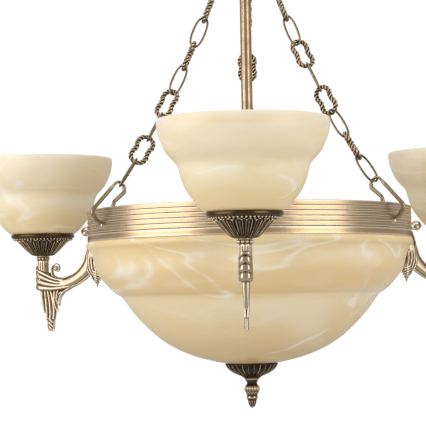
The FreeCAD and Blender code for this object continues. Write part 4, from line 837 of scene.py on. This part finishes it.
# inner scroll at the band
strand(raw, [(229, 0, 103.6, 2.8, 3.6), (236, 0, 105.0, 2.2, 3.4), (241.8, 0, 108.6, 1.7, 3.2), (246.2, 0, 112.0, 1.35, 3.0),
             (251.0, 0, 112.6, 1.25, 2.9), (254.8, 0, 109.6, 1.15, 2.7), (255.4, 0, 105.8, 1.0, 2.5)],
       hint=(0, 1, 0), both=False, sides=16, step=0.6)
raw.add(*ball((249.6, 0, 105.4 + DROP), (4.4, 4.2, 4.4), 22, 16))
strand(raw, [(242.0, 0, 103.5, 1.6, 2.4), (246.5, 0, 103.6, 1.8, 2.2)], hint=(0, 1, 0), both=False)

# inner leaf beside the bowl: upright ridges, a hatched lower part and a pale pointed tip
strand(raw, [(238, 0, 84, 4.2, 3.4), (238.5, 0, 70, 4.4, 3.6), (236.2, 0, 58, 5.0, 3.4), (233.4, 0, 49, 4.8, 2.6),
             (232.0, 0, 41, 2.6, 1.7), (231.8, 0, 34.6, 0.8, 0.8)], hint=(0, 1, 0), both=False, sides=20)
for pts in ([(243.6, 3.6, 82, 1.2, 1.4), (245.0, 4.4, 68, 1.4, 1.5), (243.2, 4.6, 57, 1.4, 1.4), (239.4, 3.8, 49.6, 0.9, 1.0)],
            [(240.2, 4.4, 83, 1.2, 1.4), (241.4, 5.0, 69, 1.4, 1.6), (239.6, 5.0, 58, 1.4, 1.5), (236.0, 4.0, 49.6, 0.9, 1.0)],
            [(236.6, 4.2, 80, 1.2, 1.3), (237.4, 4.9, 69, 1.4, 1.6), (236.0, 4.8, 59, 1.4, 1.5), (232.4, 3.9, 50.6, 0.9, 1.0)],
            [(233.2, 3.2, 76, 0.9, 1.1), (233.4, 4.2, 66, 1.2, 1.4), (231.6, 4.3, 58, 1.2, 1.4), (228.4, 3.4, 50.6, 0.8, 0.9)]):
    strand(raw, pts, hint=(1, 0, 0), sides=12)
v, f = ball((0, 0, 0), (7.6, 4.4, 7.4), 26, 18)
raw.add(v + np.array([232.9, 0, 49.4 + DROP]), f)
for q in range(5):
    h0 = 55.4 - q * 3.0
    w = (1.16, 1.2, 1.06, 0.78, 0.46)[q]
    c = 233.2 - 0.3 * q
    strand(raw, [(c + 5.6 * w, 2.9 * w + 0.5, h0 + 1.6, 0.6, 0.75), (c, 3.9 * w + 0.6, h0 - 1.0, 0.8, 1.0),
                 (c - 5.4 * w, 2.8 * w + 0.5, h0 - 3.2, 0.6, 0.75)], hint=(0, 0, 1), sides=9, step=0.7)
    strand(raw, [(c + 5.2 * w, 2.6 * w + 0.5, h0 - 3.2, 0.5, 0.6), (c, 3.7 * w + 0.6, h0 - 1.2, 0.7, 0.75),
                 (c - 5.2 * w, 2.6 * w + 0.5, h0 + 1.2, 0.5, 0.6)], hint=(0, 0, 1), sides=9, step=0.7)

raw_me = bpy.data.meshes.new("arm_raw")
raw_me.from_pydata(raw.verts().tolist(), [], raw.f)
raw_ob = bpy.data.objects.new("arm_raw", raw_me)
bpy.context.scene.collection.objects.link(raw_ob)
md = raw_ob.modifiers.new("skin", "REMESH")
md.mode, md.voxel_size, md.adaptivity = "VOXEL", 0.5, 0.0
dg = bpy.context.evaluated_depsgraph_get()
arm_me = bpy.data.meshes.new_from_object(raw_ob.evaluated_get(dg))
bpy.data.objects.remove(raw_ob)


def relax(me, steps, lam=0.5, mu=-0.52):
    """Evens out the voxel steps without shrinking the shape."""
    n = len(me.vertices)
    co = np.empty(n * 3, np.float32)
    me.vertices.foreach_get("co", co)
    p = co.reshape(-1, 3).astype(float)
    e = np.empty(len(me.edges) * 2, np.int32)
    me.edges.foreach_get("vertices", e)
    i, j = e[0::2], e[1::2]
    deg = np.maximum(1, np.bincount(i, minlength=n) + np.bincount(j, minlength=n))[:, None]
    for k in range(steps):
        for w in (lam, mu):
            s = np.stack([np.bincount(i, p[j, c], n) + np.bincount(j, p[i, c], n) for c in range(3)], 1)
            p = p + w * (s / deg - p)
    return p


skin_v = relax(arm_me, 5)
skin_f = [tuple(q.vertices) for q in arm_me.polygons]
bpy.data.meshes.remove(arm_me)
arm = Acc().add(skin_v, skin_f)


# fluted upper neck
def reeds(r, h, t, s):
    u = np.abs(np.sin(t * 6.0))
    return -0.95 * (1 - u ** 0.55) * np.clip((70.6 - h) / 0.8, 0, 1) + 0.0 * s


neck = smooth_line([(0, 45), (7.7, 45.2), (7.6, 52), (7.4, 60), (7.3, 68), (7.4, 70.2), (7.0, 71.2)], 0.9, sharp=(1, 5))
neck = np.concatenate([neck, [(5.0, 71.3), (0, 71.3)]])
amp = np.ones(len(neck))
amp[neck[:, 0] < 6.9] = 0
v, f = lathe(neck, 144, closed=False, disp=reeds, amp=amp, squash=(1.10, 0.88))
arm.add(v + np.array([ARM_R, 0, 0]), f)
# round foot on the band with its stepped edge
foot = smooth_line([(0, 0), (9.6, 0), (10.4, 0.6), (10.5, 2.0), (9.4, 3.0), (8.6, 3.6), (8.3, 5.2), (7.4, 6.4), (5.6, 7.4), (0, 7.6)],
                   0.8, sharp=(1,))
v, f = lathe(foot, 64, closed=False, drop=0.0)
rot = np.array([[0, 0, 1], [0, 1, 0], [-1, 0, 0]], float)
arm.add(v @ rot.T + np.array([200.4, 0, 104.0 + DROP]), f)
cast_me = cavity(mesh_of("cast_arm_mesh", arm, 75), (4, 16))
cast_me.materials.append(M_ARM)
for nm, az in ARMS:
    put("cast_arm_" + nm, cast_me, M_ARM, "root", "satin_brass", "arm_casting_" + nm, az=az)


# ------------------------------------------------------------------ chains
SLOPES = (36.0, 34.0, 32.0, 30.0, 28.4, 27.0, 25.6, 24.4, 23.3, 22.4)
TURNS = {"front_right": (35.0, -26.6, 35.0, 95.0, 153.4, 35.0, 95.0, 153.4, 35.0),
         "front_left": (-26.6, 63.4, -26.6, 35.0, 95.0, 153.4, 63.4, -26.6, 35.0),
         "back": (0.0, 90.0, 0.0, 62.0, 124.0, 0.0, 60.0, 118.0, 0.0)}


def chain_points():
    r, z = 174.2, 155.1
    step, pts = 16.25, []
    for i in range(9):
        a = math.radians(SLOPES[i])
        r -= step * math.sin(a)
        z += step * math.cos(a)
        pts.append((r, z, math.radians((SLOPES[i] + SLOPES[i + 1]) / 2)))
        step = 33.5
    return pts


def arc_pts(cx, cz, rad, a0, a1, n):
    return [(cx + rad * math.cos(a0 + (a1 - a0) * q / n), 0.0, cz + rad * math.sin(a0 + (a1 - a0) * q / n)) for q in range(n)]


def twist_path():
    a, c, w = 9.4, 8.3, 8.0
    b = (w * w + c * c - a * a) / (2 * (a - w))
    d = w + b
    n = math.hypot(d, c)
    tx, tz = a * d / n, c - a * c / n
    p = arc_pts(0, c, a, math.atan2(tz - c, tx), math.pi - math.atan2(tz - c, tx), 90)
    g = math.atan2(tz, d - tx)
    p += arc_pts(-d, 0, b, g, -g, 40)
    p += arc_pts(0, -c, a, math.pi - math.atan2(c - tz, tx), PI2 + math.atan2(c - tz, tx), 90)
    p += arc_pts(d, 0, b, math.pi + g, math.pi - g, 40)
    p = np.array(p)
    s = np.concatenate([[0], np.cumsum(np.linalg.norm(np.diff(np.vstack([p, p[:1]]), axis=0), axis=1))])
    q = np.linspace(0, s[-1], 301)[:-1]
    pp = np.vstack([p, p[:1]])
    return np.stack([np.interp(q, s, pp[:, k]) for k in range(3)], 1)


def rope(phi):
    """Section of three laid strands, touching; 1 is the outer radius."""
    k = np.mod(phi + math.pi / 3, PI2 / 3) - math.pi / 3
    c, a = 0.52, 0.50
    return c * np.cos(k) + np.sqrt(np.maximum(1e-4, a * a - (c * np.sin(k)) ** 2))


def plain_path():
    t = np.linspace(0, PI2, 1441)[:-1]
    k = 2 / 2.5
    p = np.stack([7.35 * np.sign(np.cos(t)) * np.abs(np.cos(t)) ** k, 0 * t,
                  19.8 * np.sign(np.sin(t)) * np.abs(np.sin(t)) ** k], 1)
    s = np.concatenate([[0], np.cumsum(np.linalg.norm(np.diff(np.vstack([p, p[:1]]), axis=0), axis=1))])
    q = np.linspace(0, s[-1], 91)[:-1]
    pp = np.vstack([p, p[:1]])
    return np.stack([np.interp(q, s, pp[:, c]) for c in range(3)], 1)


tw = twist_path()
tw_r = 3.25 - 0.5 * np.clip((np.abs(tw[:, 2]) - 12.0) / 5.0, 0, 1) + 0.12 * np.cos(tw[:, 2] * 0.9)
tw_v, tw_f = sweep(tw, tw_r, sides=36, closed=True, hint=None, lobes=rope, turns=6.5)
pl_path = plain_path()
weld = 1.3 + 0.35 * np.exp(-((pl_path[:, 2]) / 1.1) ** 2) * (pl_path[:, 0] > 0)
pl_v, pl_f = sweep(pl_path, weld, sides=14, closed=True)

for nm, az in CHAINS:
    a = math.radians(az)
    er = np.array([math.sin(a), -math.cos(a), 0])
    et = np.array([math.cos(a), math.sin(a), 0]) * (-1 if nm == "front_left" else 1)
    zu = np.array([0, 0, 1.0])
    accs = [Acc(), Acc()]
    for i, (r, z, sl) in enumerate(chain_points()):
        ph = math.radians(TURNS[nm][i])
        d = -er * math.sin(sl) + zu * math.cos(sl)
        wb = er * math.cos(sl) + zu * math.sin(sl)
        w = et * math.cos(ph) + wb * math.sin(ph)
        n = np.cross(d, w)
        m = np.stack([w, n, d], 1)
        o = er * r + zu * (z + DROP)
        v, f = (pl_v, pl_f) if i % 2 == 0 else (tw_v, tw_f)
        accs[i % 2].add(v @ m.T + o, f)
    put("chain_" + nm + "_wire_links", cavity(mesh_of("wire_links_" + nm, accs[0], 60), (2,)), M_WIRE,
        "chain_" + nm, "dark_brass", "chain_plain_links_" + nm)
    put("chain_" + nm + "_rope_links", cavity(mesh_of("rope_links_" + nm, accs[1], 75), (3, 8)), M_LINK,
        "chain_" + nm, "dark_brass", "chain_twist_links_" + nm)

# clips: bent wire through the slot and the lowest link
CLIP = [(170.4, 152.3), (178.5, 158.6), (213.6, 121.6), (205.4, 108.2), (191.6, 108.2), (183.6, 133.5), (170.2, 144.6)]
CLIP_R = [4.6, 5.0, 6.0, 6.0, 4.5, 6.0, 3.4]


def rounded_loop(pts, rad):
    out = []
    n = len(pts)
    for i in range(n):
        p0, p1, p2 = (np.array(pts[k % n], float) for k in (i - 1, i, i + 1))
        u, v = (p0 - p1) / np.linalg.norm(p0 - p1), (p2 - p1) / np.linalg.norm(p2 - p1)
        ang = math.acos(np.clip(np.dot(u, v), -1, 1))
        tl = rad[i] / math.tan(ang / 2)
        a, b = p1 + u * tl, p1 + v * tl
        cc = p1 + (u + v) / np.linalg.norm(u + v) * rad[i] / math.sin(ang / 2)
        a0 = math.atan2(*(a - cc)[::-1])
        a1 = math.atan2(*(b - cc)[::-1])
        da = (a1 - a0 + math.pi) % PI2 - math.pi
        k = 14
        out += [cc + rad[i] * np.array([math.cos(a0 + da * q / k), math.sin(a0 + da * q / k)]) for q in range(k + 1)]
    # even spacing
    p = np.array(out)
    pp = np.vstack([p, p[:1]])
    s = np.concatenate([[0], np.cumsum(np.linalg.norm(np.diff(pp, axis=0), axis=1))])
    q = np.linspace(0, s[-1], 161)[:-1]
    return np.stack([np.interp(q, s, pp[:, k]) for k in range(2)], 1)


acc = Acc()
loop = rounded_loop(CLIP, CLIP_R)
path = np.stack([loop[:, 0], np.zeros(len(loop)), loop[:, 1] + DROP], 1)
# thinner where the lowest link hangs, so that the link can sway
seat = np.hypot(loop[:, 0] - 178.5, loop[:, 1] - 158.6)
cv, cf = sweep(path, 1.7 + 0.7 * np.clip((seat - 8.0) / 6.0, 0, 1), sides=18, closed=True)
for nm, az in CHAINS:
    acc.add(move(cv, az), cf)
put("wire_clips", cavity(mesh_of("wire_clips", acc, 60), (2, 6)), M_WIRE, "root", "dark_brass", "band_clips")

# ------------------------------------------------------------------ stem, hub, canopy
stem = [(5, -44.6), (5, -667.4), (5.3, -667.6), (6.7, -667.6), (7, -667.3)] + [(7, z) for z in np.linspace(-640, -70, 20)] + \
    [(7, -44.7), (6.7, -44.3), (5.3, -44.3)]
put("stem_tube_visual", mesh_of("stem_tube_visual", Acc().add(*lathe(stem, 72, drop=0.0))), M_SATIN, "root", "satin_brass",
    "stem_tube")
HUB = [(7.05, 402), (10.5, 402), (11.5, 403.4), (11.5, 405.2), (10.2, 408), (11.6, 411), (15, 413.4), (20.5, 417.5), (21.6, 419.0),
       (22.0, 421), (22.0, 427.6), (21.3, 430), (19.6, 431.4), (17.2, 433), (14, 434.5), (12.0, 437), (10.5, 439.6), (11.0, 441),
       (11.6, 442.4), (11.2, 444.6), (10.5, 446), (7.05, 446)]
hub = smooth_line(HUB, 0.7, sharp=(0, 1, 4, 7, 12, 16, 20, 21))


def hub_relief(r, h, t, s):
    u = np.abs(np.sin(t * 8))
    return -0.55 * (1 - u ** 0.5) * np.clip((h - 411.5) / 1.5, 0, 1) * np.clip((417 - h) / 1.5, 0, 1)


acc = Acc().add(*lathe(hub, 192, disp=hub_relief))
for q in range(44):
    a = PI2 * q / 44
    acc.add(*ball((21.7 * math.cos(a), 21.7 * math.sin(a), 419.4 + DROP), (0.9, 0.9, 1.1), 8, 6))
put("chain_hub_visual", cavity(mesh_of("chain_hub_visual", acc, 60)), M_SATIN, "root", "satin_brass", "chain_hub")
acc = Acc()
for nm, az in CHAINS:
    a1 = Acc()
    ring = np.array(arc_pts(30.5, 424.3 + DROP, 6.0, 0, PI2, 48))
    a1.add(*sweep(ring, 1.6, sides=14, closed=True))
    a1.add(*sweep(np.array([(14.5, 0, 424.3 + DROP), (20, 0, 424.3 + DROP), (25.2, 0, 424.3 + DROP)]), 1.6, sides=14))
    a1.add(*sweep(np.array([(21.8, 0, 424.3 + DROP), (23.2, 0, 424.3 + DROP)]), 2.5, sides=18))
    acc.add(move(a1.verts(), az), a1.f)
put("hub_eyes_visual", cavity(mesh_of("hub_eyes_visual", acc, 60)), M_SATIN, "root", "satin_brass", "hub_eyes")

can_o = smooth_line([(14, -56), (17, -49.5), (23, -44.5), (32, -39), (42, -31.5), (50, -23), (55.5, -15), (58, -9), (58.6, -5.4),
                     (59.6, -4.6), (60, -3.6), (60, -1.4)], 0.9, sharp=(0, 8))


def turned_lines(r, h, t, s):
    k = 0
    for c in (-47.6, -42.0, -12.4):
        k = k - 0.5 * np.exp(-((h - c) / 0.45) ** 2) + 0.35 * np.exp(-((h - c - 1.3) / 0.6) ** 2)
    return k


amp = np.concatenate([[0], np.ones(len(can_o)), np.zeros(1)])
can_i = inner_line(can_o, 1.2)[::-1]
can_i = can_i[(can_i[:, 1] > -54.4)]
can = np.concatenate([[(7.35, -56)], can_o, [(59.7, -1.05)], [(58.9, -1.05)], can_i[2:], [(12.2, -54.8), (7.35, -54.8)]])
amp = np.concatenate([[0], np.ones(len(can_o)), np.zeros(len(can) - 1 - len(can_o))])
put("canopy_visual", cavity(mesh_of("canopy_visual", Acc().add(*lathe(can, 256, disp=turned_lines, amp=amp, drop=0.0)), 50)),
    M_SATIN, "canopy_group", "satin_brass", "canopy")
col = smooth_line([(7.35, -68), (10.4, -68), (11.2, -67.4), (12, -66.0), (12, -64.2), (11.5, -63.4), (11.5, -60.6), (12, -59.8),
                   (12, -58.2), (11.2, -56.8), (10.4, -56.25), (7.35, -56.25)], 0.6, sharp=(0, 1, 10, 11))
put("canopy_collar_visual", cavity(mesh_of("canopy_collar_visual", Acc().add(*lathe(col, 96, drop=0.0)), 50)), M_SATIN,
    "canopy_group", "satin_brass", "canopy_collar")

# ------------------------------------------------------------------ bottom cap and finial
CAP = [(32.5, -64.2), (32.3, -65.2), (31.5, -66.6), (30.2, -68.8), (28.1, -71.3), (25, -73.8), (20.9, -76.3), (14.9, -78.8),
       (12, -80.1), (10.2, -81.4), (9.2, -83.3)][::-1]
LOBES = 26


def cap_relief(r, h, t, s):
    hp = r * math.pi / LOBES
    x = np.abs((np.mod(t, PI2 / LOBES) - math.pi / LOBES) * r)
    line = np.exp(-((hp - x) / np.clip(0.1 * hp, 0.2, 0.36)) ** 2)
    hollow = -1.15 * np.clip(r / 22, 0.25, 1) * np.sqrt(np.clip(1 - (x / hp) ** 2, 0, 1))
    fade = np.clip((h + 82.4) / 1.6, 0, 1) * np.clip((-64.9 - h) / 0.9, 0, 1)
    return (hollow * (1 - line) + 0.42 * line) * fade


cap_o = smooth_line(CAP, 0.32)
cap_in = smooth_line([(31.2, -64.2), (30.6, -66), (28.6, -69.4), (24, -73), (19.5, -75.6), (14, -77.9), (9.6, -79.4), (7.6, -81.6),
                      (6.8, -83.3)], 1.5)
capp = np.concatenate([cap_o, cap_in])
amp = np.concatenate([np.ones(len(cap_o)), np.zeros(len(cap_in))])
cap_me = cavity(mesh_of("gadrooned_cap", Acc().add(*lathe(capp, 616, disp=cap_relief, amp=amp)), 70), (3, 9))
# painted shade: the cap's top rim gets a flat darker tone, and below it the tone shifts darker with its ridge
# highlights muted
for v, d in zip(cap_me.vertices, cap_me.attributes["cav"].data):
    d.value = 0.01 if v.co.z * 1000 - DROP > -66.0 else 0.62 * d.value + 0.012
put("gadrooned_cap", cap_me, M_CUP,
    "root", "dark_brass", "bottom_cap")

FIN = [(8.6, -83.7), (8.3, -84.4), (7.7, -85), (6.6, -86.9), (6.1, -88.7), (6.6, -90), (7.7, -91.3), (8.7, -93), (9.4, -95),
       (9.2, -96.7), (8.5, -98.3), (7.8, -100.2), (6.9, -102.2), (6.4, -103.8), (6.9, -105.2), (7, -106.4), (6.4, -107.7),
       (5.6, -109), (5.4, -111.2), (4.8, -113.4), (4, -115.3), (2.8, -117.5), (0, -119.2)][::-1]


def finial_relief(r, h, t, s):
    up = np.clip((h + 97.6) / 0.8, 0, 1) * np.clip((-91.6 - h) / 1.0, 0, 1)
    u = np.abs(np.sin(t * 9.5))
    k = up * (0.5 * u ** 0.7 - 0.9 * (1 - u) ** 2)
    lo = np.clip((h + 103.4) / 0.8, 0, 1) * np.clip((-97.8 - h) / 0.8, 0, 1)
    dia = np.abs(np.sin(t * 8 + (h + 100) * 0.9)) * np.abs(np.sin(t * 8 - (h + 100) * 0.9))
    k = k + lo * (0.9 * dia ** 0.6 - 0.65)
    tip = np.clip((-109.2 - h) / 1.0, 0, 1) * np.clip((h + 118.4) / 2.5, 0, 1)
    k = k + tip * (-0.85 * (1 - np.abs(np.sin(t * 5)) ** 0.5))
    return k


fin_o = smooth_line(FIN, 0.28)
finp = np.concatenate([fin_o, [(7.9, -83.4), (3.1, -83.4), (3.1, -108.5), (0, -108.6)]])
amp = np.concatenate([np.ones(len(fin_o)), np.zeros(4)])
amp[fin_o.shape[0] - 4:] = 0
put("drop_finial", cavity(mesh_of("drop_finial", Acc().add(*lathe(finp, 260, closed=False, disp=finial_relief, amp=amp)), 70),
                          (8, 60)), M_DARK, "finial_nut", "dark_brass", "finial")


# ------------------------------------------------------------------ lamps and holders
def lamp_outline(b):
    g = []
    for q in range(13, 61):
        a = math.pi * (q / 60 - 0.5)
        g.append((22.5 * math.cos(a), b + 28 + 22.5 * math.sin(a)))
    g[-1] = (0, b + 50.5)
    base = [(0, b - 23), (2.6, b - 23), (3.2, b - 22.4), (4.6, b - 20.6), (6.5, b - 19.4)]
    y = b - 18.6
    while y < b - 3.4:
        base += [(6.9, y), (6.9, y + 0.5), (6.25, y + 1.1), (6.25, y + 1.5)]
        y += 2.1
    base += [(6.9, b - 2.4), (6.9, b + 0.2), (7.8, b + 0.8), (8.4, b + 2.0), (9.2, b + 5.0)]
    return base, g


def lamp_mesh(name, b, drop=DROP, x0=0.0):
    base, g = lamp_outline(b)
    line = smooth_line(np.array([base[-1], (10.4, b + 7.4)] + g), 2.0)
    full = np.concatenate([base[:-1], line])
    a = Acc().add(*lathe(full, 72, closed=False, drop=drop, x0=x0))
    me = mesh_of(name, a, 40)
    me.materials.append(M_LAMP)
    me.materials.append(M_CAPSTEEL)
    z = np.array([p.center.z for p in me.polygons])
    lim = (b + 0.5 + drop) * 0.001
    me.polygons.foreach_set("material_index", (z < lim).astype(np.int32))
    return me


lamp_me = lamp_mesh("arm_lamp_mesh", 128.0, x0=ARM_R)
for nm, az in ARMS:
    put("golf_lamp_" + nm, lamp_me, M_LAMP, "lamp_arm_" + nm, "lamp_opal", "arm_lamp_" + nm, az=az)
# bowl lamps lie on their sides: drawn upright about the origin, then turned outwards
bl = lamp_mesh("bowl_lamp_mesh", 58.0, drop=0.0)
co_ = np.empty(len(bl.vertices) * 3, np.float32)
bl.vertices.foreach_get("co", co_)
co_ = co_.reshape(-1, 3)
turned = np.stack([co_[:, 2], co_[:, 1], -co_[:, 0]], 1) + np.array([0, 0, (64.0 + DROP) * 0.001])
bl.vertices.foreach_set("co", turned.astype(np.float32).ravel())
bl.update()
for nm, az in (("front_right", 60.0), ("front_left", -60.0), ("back", 180.0)):
    put("bowl_bulb_" + nm, bl, M_LAMP, "lamp_bowl_" + nm, "lamp_opal", "bowl_lamp_" + nm, az=az)


def holder_outline(z0, z1, bore):
    out = [(bore - 2.2, z0), (12.6, z0), (13.2, z0 + 0.7), (13.4, z0 + 12)]
    y = z0 + 14
    while y < z1 - 6:
        out += [(13.9, y), (13.9, y + 0.7), (13.2, y + 1.1), (13.2, y + 1.7)]
        y += 2.4
    out += [(13.2, z1 - 3), (12.8, z1 - 0.6), (12.0, z1), (bore + 1.2, z1), (bore + 0.1, z1 - 1.1), (bore + 0.1, z0 + 19)]
    out += [(bore - 2.2, z0 + 18.6)]
    return out


acc = Acc()
for nm, az in ARMS:
    acc.add(move(lathe(holder_outline(85.0, 128.0, 7.2), 64, x0=ARM_R)[0], az), lathe(holder_outline(85.0, 128.0, 7.2), 64)[1])
put("shade_lampholders", mesh_of("shade_lampholders", acc, 40), M_HOLDER, "root", "holder_plastic", "arm_lampholders")
acc = Acc()
v, f = lathe(holder_outline(16.4, 58.0, 7.2), 64, drop=0.0)
v = np.stack([v[:, 2], v[:, 1], -v[:, 0]], 1) + np.array([0, 0, 64.0 + DROP])
for nm, az in CHAINS:
    acc.add(move(v, az), f)
put("bowl_lampholders_visual", mesh_of("bowl_lampholders_visual", acc, 40), M_HOLDER, "root", "holder_plastic", "bowl_lampholders")


def grip(r, h, t, s):
    return 0.45 * np.sign(np.sin(t * 18)) * np.clip((np.abs(np.sin(t * 18)) - 0.25) * 3, 0, 1)


ring_p = np.array([(14.2, 105.4), (20.6, 105.4), (21.0, 105.8), (21.0, 107.0), (20.4, 107.4), (17.4, 107.6), (16.4, 108.2),
                   (16.2, 109), (16.2, 110), (16.2, 111), (16.0, 111.8), (15.4, 112.0), (14.2, 112.0)])
amp = np.array([0, 0, 0, 0, 0, 0, .4, 1, 1, 1, .3, 0, 0])
acc = Acc()
v, f = lathe(ring_p, 144, disp=grip, amp=amp, x0=ARM_R)
for nm, az in ARMS:
    acc.add(move(v, az), f)
put("shade_ring_nuts", mesh_of("shade_ring_nuts", acc, 40), M_HOLDER, "root", "holder_plastic", "shade_rings")

# centre body that closes the foot of the stem, and its little turned beads
cb = smooth_line([(7.1, 95.2), (19.6, 95.2), (20, 95.8), (20, 110.4), (19.2, 112), (17, 114.3), (14.2, 116), (12, 118), (11.2, 121),
                  (11.6, 123), (11.2, 125.6), (10.4, 127.8), (7.1, 128)], 0.8, sharp=(0, 1, 3, 7, 12))
put("centre_body_visual", cavity(mesh_of("centre_body_visual", Acc().add(*lathe(cb, 128)), 50)), M_SATIN, "root", "satin_brass",
    "centre_body")

# ------------------------------------------------------------------ carried nodes keep their shape
slots = {}
for row in frame["record"].get("subparts", []):
    slots[row["node"]] = row["material_slot"]
for n, ob in frame["nodes"].items():
    if n in used:
        continue
    mat = BY_SLOT.get(slots.get(n, ""), None)
    if mat is None:
        low = n.lower()
        mat = M_ZINC
        for key, mm in (("gasket", M_RUBBER), ("lead", M_LEAD), ("terminal_block", M_TERMINAL), ("hub_screw", M_SATIN),
                        ("collar_screw", M_SATIN), ("band_screws", M_SATIN)):
            if key in low:
                mat = mm
    if ob.material_slots:
        for s in ob.material_slots:
            s.material = mat
    else:
        ob.data.materials.append(mat)

# ------------------------------------------------------------------ floor, light
fm = Mat("pale_floor")
fm.set(Base_Color=fm.mix(fm.span(fm.noise(fm.mapping((1, 1, 1)), 3, 4), 0.3, 0.7), lin(238, 236, 232), lin(232, 230, 226)),
       Roughness=0.6)
acc = Acc().add(*lathe([(0, -2600), (3000, -2600), (3600, -2590), (3600, -2610), (0, -2610)], 96, closed=False, drop=0.0))
floor = bpy.data.objects.new("pale_floor", mesh_of("pale_floor", acc))
bpy.context.scene.collection.objects.link(floor)
floor.data.materials.append(fm.m)

world = bpy.data.worlds.new("studio")
bpy.context.scene.world = world
world.use_nodes = True
wt = world.node_tree
wt.nodes.clear()
wo = wt.nodes.new("ShaderNodeOutputWorld")
b1 = wt.nodes.new("ShaderNodeBackground")
b1.inputs[0].default_value = (1, 1, 1, 1)
b1.inputs[1].default_value = 0.52
b2 = wt.nodes.new("ShaderNodeBackground")
b2.inputs[0].default_value = (1, 1, 1, 1)
b2.inputs[1].default_value = 1.05
lp = wt.nodes.new("ShaderNodeLightPath")
mx = wt.nodes.new("ShaderNodeMixShader")
wt.links.new(lp.outputs["Is Camera Ray"], mx.inputs[0])
wt.links.new(b1.outputs[0], mx.inputs[1])
wt.links.new(b2.outputs[0], mx.inputs[2])
wt.links.new(mx.outputs[0], wo.inputs[0])


def area(name, loc, aim, w, h, power, col=(1, 1, 1)):
    li = bpy.data.lights.new(name, "AREA")
    li.shape, li.size, li.size_y = "RECTANGLE", w, h
    li.energy, li.color = power, col
    ob = bpy.data.objects.new(name, li)
    bpy.context.scene.collection.objects.link(ob)
    ob.location = loc
    ob.rotation_euler = (Vector(aim) - Vector(loc)).to_track_quat("-Z", "Y").to_euler()
    ob.visible_camera = False
    return ob


area("left_box", (-2.0, -1.12, -0.35), (0, 0, -0.6), 2.2, 2.3, 40)
area("right_box", (1.74, -1.52, -0.35), (0, 0, -0.6), 1.6, 2.3, 27)
area("top_box", (0.0, -0.3, 1.3), (0, 0, -0.6), 1.6, 1.6, 14)
bpy.context.scene.view_settings.view_transform = "Standard"
bpy.context.scene.view_settings.look = "None"
